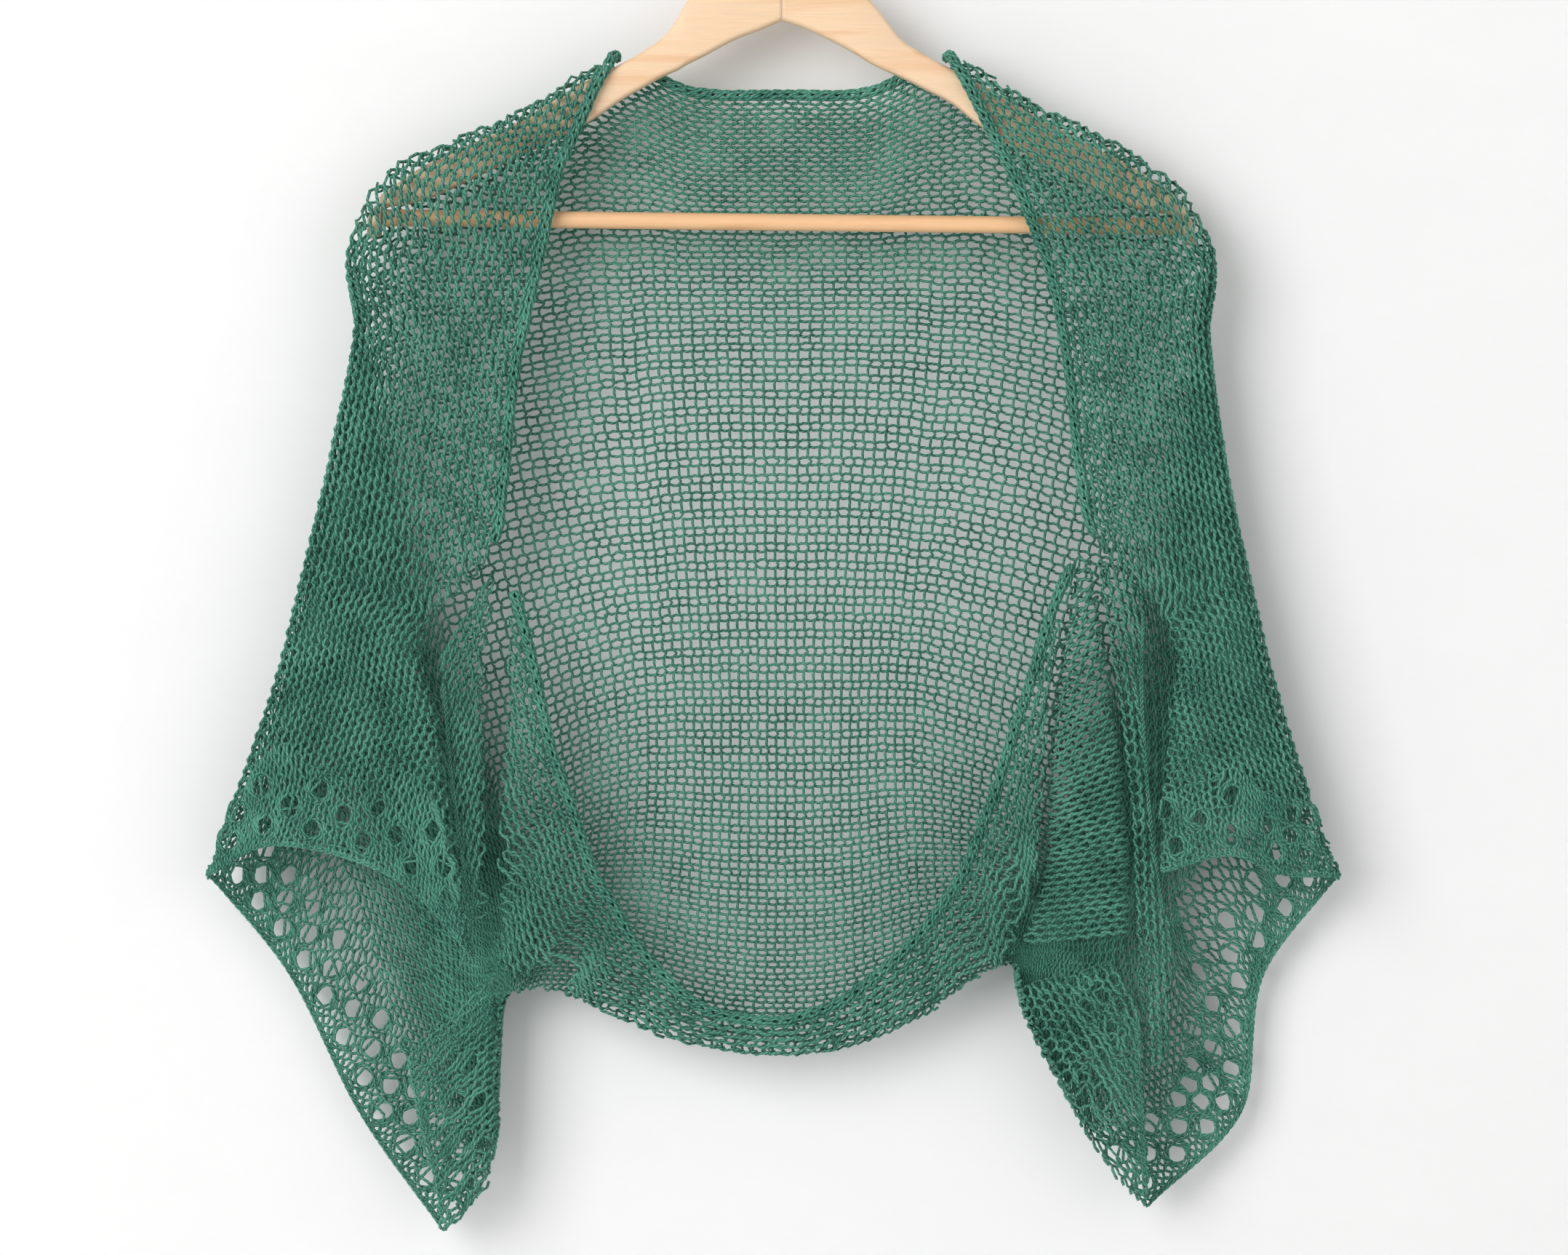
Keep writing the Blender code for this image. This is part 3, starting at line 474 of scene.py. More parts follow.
def stitches(surface, wales, courses, keep, heads=1, tall=0.74, sway=0.22, narrow=0.0,
             thick=1.0, pulled=0.0):
    """Runs of yarn, one for each course: loops that hang in the loops of the next course.

    sway is how far the two legs of a loop cross under its head, and narrow how
    much the head is pinched where the cloth is pulled out sideways.  pulled goes
    from round loops, 0, to slim heads between straight bars, 1.
    """
    line = np.arange(wales[0] * STEPS, wales[1] * STEPS + 1) / STEPS
    form = (len(courses), len(line))
    wale, course = (grid.ravel() for grid in np.meshgrid(line, courses))
    t = 2 * np.pi * wale
    pulled = pulled * np.interp(wale, *EVEN_AT)
    moved = (wale + ((sway - 0.07 * pulled) * np.sin(2 * t) - narrow * pulled * np.sin(t))
             * (1 + uneven(0, wale, course, 0.10)) + uneven(1, wale, course, 0.03))
    rise = ((1 - pulled) * tall * np.cos(t)
            + pulled * (1.22 * (0.5 + 0.5 * np.cos(t)) ** 2 - 0.14))
    lifted = (course + heads * rise * (1 + uneven(2, wale, course, 0.05))
              + uneven(3, wale, course, 0.05))
    p, n = surface(moved, lifted)
    height = -thick * np.cos(2 * t) + uneven(4, wale, course, 0.12)
    p = (p + n * height[:, None]).reshape(form + (3,))
    n = n.reshape(form + (3,))
    # the place each step of the row takes up as the cloth hangs
    bit = 0.05
    here = surface(wale, course)[0]
    patch = np.linalg.norm(np.cross(surface(wale + bit, course)[0] - here,
                                    surface(wale, course + bit)[0] - here), axis=1) / bit ** 2
    patch = np.minimum(patch, WIDEST * WALE * COURSE).reshape(form) / STEPS
    stay = keep(wale, course).reshape(form)
    stay[:, :-1] &= np.linalg.norm(np.diff(p, axis=1), axis=2) < LEAP
    runs = []
    for r in range(form[0]):
        cut = np.flatnonzero(np.diff(np.concatenate(([0], stay[r].astype(int), [0]))))
        for a, b in zip(cut[::2], cut[1::2]):
            if b - a >= 5:
                runs.append((p[r, a:b + 1], n[r, a:b + 1], patch[r, a:b].sum()))
    return runs


def scaled(tree, start, socket, factor, added=None):
    """A value times a factor, plus another node's first value where one is given."""
    made = node(tree, "Math", operation="MULTIPLY" if added is None else "MULTIPLY_ADD")
    made.inputs[1].default_value = factor
    link(tree, start, socket, made, 0)
    if added is not None:
        link(tree, added, 0, made, 2)
    return made


# two-ply yarn: twisted strands in relief, with painted shade in the grooves between the plies and
# lighter painted crests, uneven dye, a soft sheen of fibres
green_cotton, tree, face = empty_material("green_cotton")
place_in, parts = node(tree, "TexCoord"), node(tree, "SeparateXYZ")
link(tree, node(tree, "UVMap", uv_map="along_yarn"), "UV", parts, "Vector")
phase = scaled(tree, parts, "X", 2 * math.pi / PLY_TURN, scaled(tree, parts, "Y", 4 * math.pi))
ply = node(tree, "Math", operation="SINE")
link(tree, phase, 0, ply, 0)
fibre = noise(tree, place_in, "Object", Scale=1500.0, Detail=2, Roughness=0.6)
dye = noise(tree, place_in, "Object", Scale=55.0, Detail=4, Roughness=0.65)
# painted shade and highlight of the twisted plies (dark in the grooves, light on the crests), added
# to uneven dye and fibre flecks
ply_shade_and_dye = scaled(tree, fibre, 0, 0.35, scaled(tree, ply, 0, 0.22, dye))
tone = ramp(tree, ply_shade_and_dye, ((0.30, DEEP), (0.62, MID), (1.0, LEAF)))
link(tree, tone, "Color", face, "Base Color")
relief(tree, face, scaled(tree, fibre, 0, 0.6, ply), 0.7, 0.00018)
settle(face, Roughness=0.82, Specular_IOR_Level=0.25, Sheen_Weight=0.35, Sheen_Roughness=0.45,
       Sheen_Tint=(0.45, 0.85, 0.68, 1))


def both_ways(left, right):
    """A table of the whole back, whose left half is counted below nothing."""
    return [(-r[0],) + r[1:] for r in reversed(left)][:-1] + list(right)


back_both, back_deep = both_ways(BACK_LEFT, BACK_RIGHT), both_ways(BACK_DEPTH, BACK_DEPTH)


def by_course(table, signed=True):
    """Reads a panel whose rows are courses: wale and stitch to key and share across."""
    keys, firsts, lasts = zip(*table)

    def table_of(wale, course):
        far = np.abs(course)
        first, last = np.interp(far, keys, firsts), np.interp(far, keys, lasts)
        return course if signed else far, (wale - first) / np.maximum(last - first, 0.2)
    return table_of


def back_table(wale, course, plain=by_course(BACK_WALES)):
    """The same for the back, whose wales stand further apart at the middle."""
    key, share = plain(wale, course)
    even = np.clip((np.abs(key) - 16) / 18, 0, 1)
    even = even * even * (3 - 2 * even)
    inside = np.clip(share, 0, 1)
    return key, share + (1 - even) * (blend(*SPREAD, inside) - inside)


def rate_of(shape, depth, last=LAST):
    """Millimetres a course takes at the cuff edge, by share across the panel."""
    at, way = np.linspace(0, 1, 81), np.sign(last)
    a, b = place(shape, depth, last, at), place(shape, depth, last - 8 * way, at)
    rate = np.linalg.norm(a - b, axis=1) * slant(shape, depth, last - 0.2 * way, at) / 8
    return lambda share: np.interp(share, at, rate)


back_rate = {sign: rate_of(back_both, back_deep, sign * LAST) for sign in (-1, 1)}


def within(share, last=1):
    """Whether a share of the way across lies on the panel."""
    return (share >= 0) & (share <= last)


def keep_body(wale, course):
    key, share = back_table(wale, course)
    return (within(share) & (np.abs(key) < BODY_END)
            & ((np.abs(key) > NECK_END) | (share * span(back_both, key) > ROLLED)))


surface = on_panel(back_both, back_deep, back_table, 1)
for side, sign in SIDES:
    def keep_sleeve(wale, course):
        key, share = back_table(wale, course)
        return within(share) & ((LAST - np.abs(key)) * back_rate[sign](share) >= CUFF)

    runs = stitches(surface, (0, 71), sign * (np.arange(15, 40) + 0.5), keep_body,
                    narrow=0.05, thick=0.85, pulled=0.8)
    sweep_yarn("knit_back_" + side, runs, TAUT, "knit",
                             ["back_panel_" + side, "back_low_" + side])
    runs = stitches(surface, (13, 63), sign * (np.arange(40, 84) + 0.5), keep_sleeve)
    sweep_yarn("knit_%s_sleeve_back" % side, runs, YARN, "knit",
                             [side + "_sleeve_back"])

# cloth with an edging is kept here
runs = stitches(surface, (0, 71), np.arange(-15, 15) + 0.5, keep_body, narrow=0.05, thick=0.8,
                pulled=1.0)
edged = {"neck": (sweep_yarn("knit_back_middle", runs, TAUT, "knit",
                             ["back_panel", "back_low"]), runs)}

# ---------------------------------------------------------------- fronts and tops of the sleeves
# The same rectangle folded forward over the arms.  Its selvedge is the open
# front edge down to the seam; below it the cloth runs on as the sleeve's ridge.
FRONT_LEFT = (
    (14, (-89, 116), (-90, 115), (-90, 114), (-91, 114)),
    (20, (-107, 156), (-116, 151), (-126, 145), (-135, 140)),
    (26, (-116, 178), (-137, 172), (-159, 166), (-180, 160)),
    (29, (-121, 201), (-149, 192), (-179, 183), (-208, 173)),
    (32, (-126, 225), (-159, 217), (-192, 210), (-225, 202)),
    (40, (-137, 276), (-167, 269), (-196, 261), (-225, 253)),
    (50, (-144, 341), (-175, 332), (-206, 324), (-237, 317)),
    (55, (-150, 373), (-180, 364), (-212, 356), (-244, 349)),
    (60, (-183, 409), (-206, 397), (-229, 389), (-252, 381)),
    (70, (-180, 466), (-210, 455), (-238, 446), (-267, 441)),
    (78, (-173, 516), (-210, 499), (-247, 490), (-284, 491)),
    (86, (-161, 587), (-203, 545), (-264, 528), (-303, 545)),
)
FRONT_RIGHT = (
    (14, (88, 115), (89, 114), (90, 114), (90, 113)),
    (20, (106, 151), (116, 147), (126, 143), (136, 139)),
    (26, (123, 186), (143, 178), (162, 170), (182, 162)),
    (29, (130, 204), (154, 197), (180, 189), (208, 180)),
    (32, (137, 222), (166, 217), (195, 211), (224, 206)),
    (40, (147, 273), (173, 268), (199, 263), (225, 257)),
    (50, (155, 338), (181, 332), (207, 327), (233, 321)),
    (55, (162, 366), (186, 362), (212, 357), (239, 353)),
    (60, (199, 409), (215, 400), (231, 392), (246, 384)),
    (70, (203, 462), (222, 455), (242, 451), (261, 447)),
    (78, (200, 500), (226, 492), (251, 492), (277, 498)),
    (86, (199, 542), (234, 533), (260, 543), (294, 545)),
)
# Depth of the fronts: course, free edge, edge or ridge, inner, outer, fold, fold edge
FRONT_DEPTH = (
    (14, -9, -9, -9, -9, -8.5, 0), (26, -11, -11, -12, -12, -9, 0),
    (40, -13, -13, -15, -14, -9, 0), (55, -17, -17, -19, -17, -10, 0),
    (60, -15, -24, -23, -20, -11, 0), (86, -16.5, -25, -25, -21, -12, 0),
)
# Wale at the front edge or ridge, and at the outer fold, by course
EDGE_WALES = ((14, 0, 0.4), (20, 0, 4.4), (26, 0, 8.8), (32, 0, 13), (55, 0, 13))
FRONT_WALES = {
    "left": EDGE_WALES + ((60, 3.5, 13), (70, 0.5, 13), (78, -2.5, 13), (86, -8, 13)),
    "right": EDGE_WALES + ((60, 6.5, 13), (70, 4.5, 13), (78, 2.5, 13), (86, 0, 13)),
}
FRONT_YARN = 0.93       # radius of the yarn, slack and full in the fronts
FRONT_END = 55.2        # course at which the open edge ends and the sleeve closes
FRONTS = {"left": FRONT_LEFT, "right": FRONT_RIGHT}
front_rate = {side: rate_of(FRONTS[side], FRONT_DEPTH) for side in FRONTS}

for side, sign in SIDES:
    table_of = by_course(FRONT_WALES[side], signed=False)
    surface = on_panel(FRONTS[side], FRONT_DEPTH, table_of, -1)

    def keep_front(wale, course):
        key, share = table_of(wale, course)
        return within(share) & (share * span(FRONTS[side], key) > ROLLED) & (key < FRONT_END)

    def keep_top(wale, course):
        key, share = table_of(wale, course)
        return (within(share) & (key >= FRONT_END)
                & ((LAST - key) * front_rate[side](share) >= CUFF))

    runs = stitches(surface, (0, 14), sign * (np.arange(14, 56) + 0.5), keep_front)
    edged[side + "_front"] = (sweep_yarn("knit_%s_front" % side, runs, FRONT_YARN, "knit",
                                         [side + "_front"]), runs)
    runs = stitches(surface, (-9, 14), sign * (np.arange(54, 84) + 0.5), keep_top)
    sweep_yarn("knit_%s_sleeve_front" % side, runs, YARN, "knit",
                             [side + "_sleeve_front"])

# ---------------------------------------------------------------- lace cuffs
# The last six courses of each sleeve, drawn as eight short ones: three rows of
# eyelets, made by knitting two together and laying the yarn over, staggered.
BIND = 1.8              # distance of the bound-off chain from the edge
LACE = 0.82             # radius of the yarn in the lace
LACE_WALE, LACE_COURSE = 5.3, 5.06   # size of a stitch of the lace
LACE_ROWS = 8           # courses of the lace as drawn
WALE_LEAN = 0.38        # how far its wales lean with the sleeve
EYELET_ROWS = (11.25, 21.75, 32.25)   # distance of each row from the cuff edge
EYELET_STEP = 10.35     # half the distance from eyelet to eyelet
EYELET_BAR = 0.19       # share of a step left between eyelet columns
EYELET_REACH, EYELET_OPEN = 7.3, 4.5  # yarn within reach is drawn out to the opening


def opened(x, up):
    """Factor by which yarn at a distance from the middle of an eyelet is pushed outward."""
    far = np.hypot(x, up)
    grown = EYELET_OPEN + far * (1 - EYELET_OPEN / EYELET_REACH)
    return np.where(far < EYELET_REACH, grown / np.maximum(far, 0.2), 1)


def cuff_table(shape, depth, rate, sign):
    """Reads a cuff whose courses follow its edge; gives the places of its eyelets too."""
    wide = float(span(shape, [LAST * sign])[0])
    at = np.linspace(0, 1, 81)
    edge, inner = (place(shape, depth, sign * k, at)[:, ::2] for k in (LAST, LAST - 4))
    along = unit(np.gradient(edge, axis=0))
    into = np.stack((-along[:, 1], along[:, 0]), axis=1)
    into *= np.sign(((inner - edge) * into).sum(axis=1))[:, None]
    lean = WALE_LEAN * ((inner - edge) * along).sum(axis=1) / (4 * rate(at))
    count = int((wide - 8) / EYELET_STEP)
    holes = []
    for row, level in enumerate(EYELET_ROWS):
        for column in range(row % 2, count, 2):
            share = (3 + (wide - 6) * (column + (1 + EYELET_BAR) / 2) / count) / wide
            holes.append([np.interp(share, at, edge[:, k] + level * into[:, k]) for k in (0, 1)])

    def table_of(wale, course):
        x, up = wale * LACE_WALE, np.maximum(CUFF - course * LACE_COURSE, 1.2)
        share = x / wide
        for _ in range(8):
            share = (x - up * np.interp(share, at, lean)) / wide
        return sign * (LAST - up / rate(np.clip(share, 0, 1))), share
    return table_of, (-int(50 / LACE_WALE), int((wide + 50) / LACE_WALE)), holes


def lace_piece(name, node_name, shape, depth, rate, face, sign):
    table_of, wales, holes = cuff_table(shape, depth, rate, sign)
    runs = stitches(on_panel(shape, depth, table_of, face), wales, np.arange(LACE_ROWS) + 0.5,
                    lambda wale, course: within(table_of(wale, course)[1]), tall=0.66, thick=0.8)
    for path, _, _ in runs:
        for hole in holes:
            off = path[:, ::2] - hole
            path[:, ::2] = hole + off * opened(*off.T)[:, None]
    return sweep_yarn(name, runs, LACE, "lace_knit", [node_name]), runs


for side, sign in SIDES:
    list(lace_piece("lace_%s_cuff_back" % side, side + "_cuff_back", back_both,
                              back_deep, back_rate[sign], 1, sign))
    edged[side + "_cuff"] = lace_piece("lace_%s_cuff_front" % side, side + "_cuff_front",
                                       FRONTS[side], FRONT_DEPTH, front_rate[side], -1, 1)

# ---------------------------------------------------------------- under sides of the sleeves
# What shows of the cloth under each arm, turned up where the sleeve is folded.
# Its wales run out to the seam and to the cuff edge, so each row is a wale.
UNDER_LEFT = (
    (0, (-149, 378), (-180, 430)), (1, (-154, 412), (-178, 458)), (2, (-156, 443), (-175, 489)),
    (3, (-156, 474), (-171, 520)), (4, (-156, 504), (-167, 548)), (5, (-155, 539), (-164, 577)),
    (6, (-154, 569), (-178, 611)), (7, (-152, 594), (-195, 635)), (8, (-150, 619), (-193, 659)),
    (9, (-150, 648), (-187, 685)), (10, (-150, 677), (-181, 712)),
    (11, (-156, 709), (-179, 732)),
)
UNDER_LEFT_DEPTH = (
    (0, 3, -8, -9, -9), (2, 5, -12, -9.5, -9.5), (5, 4, -12, -9.5, -9.5), (8, 0, -12, -13, -13),
    (11, 0, -9, -11, -11),
)
UNDER_RIGHT = (
    (0, (124, 602), (148, 658), (193, 720)), (1, (134, 599), (163, 644), (192, 697)),
    (2, (148, 596), (171, 631), (190, 668)), (3, (163, 592), (177, 614), (188, 640)),
    (4, (177, 589), (183, 600), (188, 612)),
)
UNDER_RIGHT_DEPTH = (
    (0, -1, -1.5, -1.5, -1.5, -1.5), (0.4, -1, -7, -8, -7, -7), (1, -1, -9, -13, -11, -11),
    (3, 2, -10, -14, -13, -13), (4, 2, -10, -11, -12, -12),
)
SIDE_RIGHT = (
    (0, (156, 374), (163, 378)), (1, (149.8, 409), (166, 397)), (2, (144.6, 437), (170, 422)),
    (3, (141.9, 466), (174, 447)), (4, (140.4, 493), (178, 477)), (5, (139.6, 520), (181, 508)),
    (6, (136.6, 546), (183, 539)), (7, (126.5, 580), (184, 574)),
)
SIDE_RIGHT_DEPTH = (
    (0, -5, -5, -7, -7, -4), (2, 2, -6, -11, -9, -1), (6, 2, -6, -11, -9, -1),
    (7, 2, -6, -9, -8, -1),
)
NARROW_RIGHT = (
    (0, (165.4, 378), (192, 389)), (1, (169.1, 401), (191, 420)), (2, (173.4, 428), (190, 451)),
    (3, (178.1, 460), (192, 481)), (4, (182.2, 493), (194, 508)), (5, (184.9, 527), (198, 537)),
    (6, (186.4, 562), (202, 562)), (7, (188, 592), (204, 589)), (8, (189, 619), (203, 619)),
    (9, (190, 646), (201, 640)),
)
NARROW_RIGHT_DEPTH = (
    (0, -2, -8, -12, -9, -9), (3, 3, -8, -13, -10, -6), (9, 3, -9, -12, -10, -10),
)
UNDER_WALE, UNDER_COURSE = 6.9, 7.0   # size of a stitch where the cloth hangs in folds
UNDER_YARN = 0.86       # radius of the yarn there
LACE_FROM = 6.965       # row of the left under side at which its lace begins
LACE_SHORT = 0.97       # share across at which the lace stops short of its chain
LACE_SEAT = 4.56        # distance from the cuff edge from which low eyelets are spaced


def by_wale(shape, first, last):
    """Reads a panel whose rows are wales that end at its far edge, square to its courses."""
    keys = np.linspace(first, last, 240)
    flat = lines_of(shape, keys) * (1, -1)
    end, ahead = flat[:, -1], unit(flat[:, -1] - flat[:, -2])
    step = np.gradient(end, axis=0)
    wales = np.cumsum(np.abs(step[:, 0] * ahead[:, 1] - step[:, 1] * ahead[:, 0])) / UNDER_WALE
    out = np.cumsum((step * ahead).sum(axis=1))
    long = width_of(flat)

    def table_of(wale, course):
        back = np.interp(wale, wales, out) - course * UNDER_COURSE
        return np.interp(wale, wales, keys), 1 - back / np.interp(wale, wales, long)
    courses = np.arange(math.floor((out - long).min() / UNDER_COURSE),
                        math.ceil(out.max() / UNDER_COURSE) + 1) + 0.5
    return (table_of, (0, int(math.ceil(wales[-1]))), courses), wales[-1]


def along_edge(shape, first, last):
    """Reads a panel whose first edge is a wale, with its rows laid slanting across it."""
    keys = np.linspace(first, last, 240)
    rows = lines_of(shape, keys) * (1, -1)
    near, wide = rows[:, 0], rows[:, -1] - rows[:, 0]
    arc, long = length_along(near), np.linalg.norm(wide, axis=1)
    cosine = (wide * unit(np.gradient(near, axis=0))).sum(axis=1) / long
    sine = np.sqrt(np.clip(1 - cosine ** 2, 0.09, 1))

    def table_of(wale, course, strict=False):
        off, at = wale * UNDER_WALE, course * UNDER_COURSE
        for _ in range(4):
            at = course * UNDER_COURSE - off * np.interp(at, arc, cosine) / np.interp(at, arc, sine)
        share = off / (np.interp(at, arc, long) * np.interp(at, arc, sine))
        inside = (at >= 0) & (at <= arc[-1])
        return np.interp(at, arc, keys), np.where(inside | (not strict), share, 9)
    courses = np.arange(-6, math.ceil(arc[-1] / UNDER_COURSE) + 6) + 0.5
    return table_of, (0, int(math.ceil(long.max() / UNDER_WALE))), courses


def low_cuff_warp(shape, depth, first, last):
    """Opens the eyelets of an under panel, whose wales end at the cuff edge."""
    fine = np.linspace(first, last, 60)
    far = length_along(place(shape, depth, fine, 1))
    count = int((far[-1] - 7) / EYELET_STEP)
    pitch = (far[-1] - 6) / count
    wide = span(shape, fine)
    lean = slant(shape, depth, fine, np.ones(60))
    size = np.minimum(1, (wide * lean - 2 - LACE_SEAT) / (CUFF - LACE_SEAT)) / lean

    def warp(key, share):
        here = lambda values, at: np.interp(at, fine, values)
        back = (1 - share) * here(wide, key)
        up = LACE_SEAT + (back - LACE_SEAT / here(lean, key)) / here(size, key)
        x = here(far, key)
        for row, level in enumerate(EYELET_ROWS):
            for column in range(row % 2 - 6, count + 6, 2):
                middle = 3 + pitch * (column + (1 + EYELET_BAR) / 2)
                out = opened(x - middle, up - level)
                x, up = middle + (x - middle) * out, level + (up - level) * out
        key = np.interp(x, far, fine)
        back = LACE_SEAT / here(lean, key) + (up - LACE_SEAT) * here(size, key)
        return key, np.clip(1 - back / here(wide, key), 0, 1)
    return warp


def under_piece(name, node_name, shape, depth, read, keep, heads, warp=None):
    reader, wales, courses = read
    runs = stitches(on_panel(shape, depth, reader, -1, warp), wales, courses, keep, heads)
    radius, slot = (LACE, "lace_knit") if name.startswith("lace") else (UNDER_YARN, "knit")
    return sweep_yarn(name, runs, radius, slot, [node_name]), runs


def between(read, most, low=-math.inf, high=math.inf, last=1):
    """Keeps the stitches of a panel between two of its rows."""
    def keep(wale, course):
        key, share = read[0](wale, course)
        return within(share, last) & (key >= low) & (key < high) & within(wale, most)
    return keep


read, most = by_wale(UNDER_LEFT, 0, 11)
edged["left_seam"] = under_piece(
    "knit_left_sleeve_under", "left_sleeve_under", UNDER_LEFT, UNDER_LEFT_DEPTH, read,
    between(read, most, high=LACE_FROM), -1)
edged["left_low_cuff"] = under_piece(
    "lace_left_cuff_under", "left_cuff_under", UNDER_LEFT, UNDER_LEFT_DEPTH, read,
    between(read, most, low=LACE_FROM, last=LACE_SHORT), -1,
    low_cuff_warp(UNDER_LEFT, UNDER_LEFT_DEPTH, 7.0, 11.0))
read, most = by_wale(UNDER_RIGHT, 0.05, 3.7)
edged["right_low_cuff"] = under_piece(
    "lace_right_cuff_under", "right_cuff_under", UNDER_RIGHT, UNDER_RIGHT_DEPTH, read,
    between(read, most, last=LACE_SHORT), 1,
    low_cuff_warp(UNDER_RIGHT, UNDER_RIGHT_DEPTH, 0.05, 3.7))
read, most = by_wale(SIDE_RIGHT, 0, 7)
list(under_piece("knit_right_side", "right_side_panel", SIDE_RIGHT, SIDE_RIGHT_DEPTH,
                           read, between(read, most), 1))
read = along_edge(NARROW_RIGHT, 0, 9)
edged["right_seam"] = under_piece(
    "knit_right_sleeve_fold", "right_sleeve_fold", NARROW_RIGHT, NARROW_RIGHT_DEPTH, read,
    lambda wale, course: within(read[0](wale, course, True)[1]), 1)

# ---------------------------------------------------------------- hem band
# The bottom of the back turned up to the front, four wales deep at the middle
# and wider at the sides, where it reaches up to the end of the front edge.
HEM_LEFT = (
    (0, (0, 618), (0, 639)), (1, (-29, 615), (-29, 637)), (2, (-48, 606), (-52, 632)),
    (3, (-65, 589), (-72, 625)), (4, (-77, 575), (-90, 617)), (5, (-86, 558), (-107, 609)),
    (6, (-96, 543), (-123, 603)), (7, (-103, 523), (-137, 599)), (8, (-109, 504), (-148, 589)),
    (9, (-116, 485), (-150, 563)), (10, (-121, 466), (-149, 534)),
    (11, (-125, 447), (-148, 504)), (12, (-129, 428), (-145, 476)),
    (13, (-134, 409), (-143, 447)), (14, (-140, 389), (-144, 414)),
)
HEM_RIGHT = (
    (0, (0, 618), (0, 639)), (1, (29, 608), (29, 635)), (2, (48, 594), (50, 628)),
    (3, (67, 577), (69, 618)), (4, (82, 558), (85, 607)), (5, (94, 539), (101, 598)),
    (6, (103, 516), (115, 591)), (7, (113, 489), (123, 580)), (8, (121, 462), (132, 556)),
    (9, (129, 439), (137, 522)), (10, (137, 414), (138, 484)), (11, (144, 394), (141, 442)),
    (12, (153, 374), (149, 400)),
)
HEM_DEPTH = (
    (0, -5, -5, -7, -7, 0), (6, -7, -7, -9, -8, 0), (9, -8, -8, -10, -9, 4),
    (14, -9, -9, -10, -9, 3),
)
for side, shape, heads in (("left", HEM_LEFT, -1), ("right", HEM_RIGHT, 1)):
    # a row on the far side of the middle, so that the two halves meet
    beyond = [(-1,) + tuple((-x, drop) for x, drop in shape[1][1:])] + list(shape)
    read = along_edge(beyond, -0.5, shape[-1][0])

    def keep_hem(wale, course):
        key, share = read[0](wale, course, True)
        return within(share) & (wale * UNDER_WALE > ROLLED) & (key >= 0)

    edged[side + "_hem"] = under_piece("knit_%s_hem_band" % side, side + "_hem_band", beyond,
                                       [(-1,) + HEM_DEPTH[0][1:]] + list(HEM_DEPTH), read,
                                       keep_hem, heads)

# ---------------------------------------------------------------- rolled selvedges
# Stockinette curls up along its selvedges: the last two or three wales roll
# into a soft cord at the neck, down both fronts and along the hem.
ROLL = 2.6              # distance of the roll's middle inside the edge
ROLL_ROUND = 1.75       # radius at which its stitches lie
ROLL_WALES = 3          # wales around the roll
ROLL_COURSE = UNDER_COURSE * 0.94   # length of a stitch along it


def edge_line(shape, depth, keys):
    """Line of a panel along which its edge is rolled."""
    wide = span(shape, keys) * slant(shape, depth, keys, np.zeros(len(keys)))
    return place(shape, depth, keys, ROLL / wide)


def smoothed(path, step, times):
    """The same path with its points an even step apart and its corners rounded off."""
    far = length_along(path)
    at = np.linspace(0, far[-1], max(4, int(far[-1] / step) + 1))
    path = np.stack([np.interp(at, far, line) for line in path.T], axis=1)
    for _ in range(times):
        path = np.concatenate((path[:1], (path[:-2] + 2 * path[1:-1] + path[2:]) / 4, path[-1:]))
    return path


def facing(path):
    """Distance along a path, and the ways that face the front and sideways from it."""
    ahead = unit(np.gradient(path, axis=0))
    front = unit(np.array((0, -1, 0)) + ahead * ahead[:, 1:2])
    return length_along(path), front, np.cross(ahead, front)


def rolled_edge(name, node_name, path, heads=1):
    path = smoothed(path, 3, 3)
    far, front, beside = facing(path)

    def surface(wale, course):
        at = np.clip(course * ROLL_COURSE, 0, far[-1])
        read = lambda values: np.stack([np.interp(at, far, line) for line in values.T], axis=1)
        turn = (2 * np.pi * (wale / ROLL_WALES - 0.5))[:, None]
        normal = unit(np.cos(turn) * read(front) + np.sin(turn) * read(beside))
        return read(path) + ROLL_ROUND * normal, normal

    runs = stitches(surface, (0, ROLL_WALES), np.arange(int(far[-1] / ROLL_COURSE)) + 0.5,
                    lambda wale, course: wale >= 0, heads, tall=0.72, thick=0.55)
    roll = sweep_yarn(name, runs, YARN, "edging", [node_name])


rolled_edge("rolled_back_neck", "back_neck_edge",
            edge_line(back_both, back_deep, np.linspace(-12.6, 12.6, 40)))
lines = [edge_line(table, HEM_DEPTH, np.linspace(0.02, table[-1][0], 60))
         for table in (HEM_LEFT, HEM_RIGHT)]
rolled_edge("rolled_hem", "hem_edge", np.concatenate((lines[0][::-1], lines[1][1:])))
for side, s in SIDES:
    over = np.array(((86.8 * s, 6.5, -113.5), (88 * s, 2.5, -111), (88.5 * s, -3, -111.5),
                     (90.5 * s, -8, -116.5)))
    keys = np.concatenate(([16, 17], np.linspace(18.2, 55, 60)))
    path = np.concatenate((over, edge_line(FRONTS[side], FRONT_DEPTH, keys)))
    rolled_edge("rolled_%s_front" % side, side + "_front_edge", path,
                s)

# ---------------------------------------------------------------- bound-off cuff edges
# Each cuff ends in a chain of bound-off loops, a thin braid along the edge.
BRAID_PITCH = 13.0      # length of one full turn of a strand in the braid
BRAID_SWING = 1.05      # how far a strand swings to each side
BRAID_DEPTH = 0.55      # how far it swings in and out, against that
BRAID_YARN = 0.62       # radius of a strand


def strands(name, node_name, path, step, radius, count, pitch, swing):
    """Strands of yarn that run round a line; swing gives their way off it at each turn."""
    path = smoothed(path, step, 6)
    far, front, beside = facing(path)
    runs = []
    for strand in range(count):
        t = (2 * np.pi * (far / pitch + strand / count))[:, None]
        runs.append((path + swing(t, front, beside), front, 0))
    edging = sweep_yarn(name, runs, radius, "edging", [node_name])


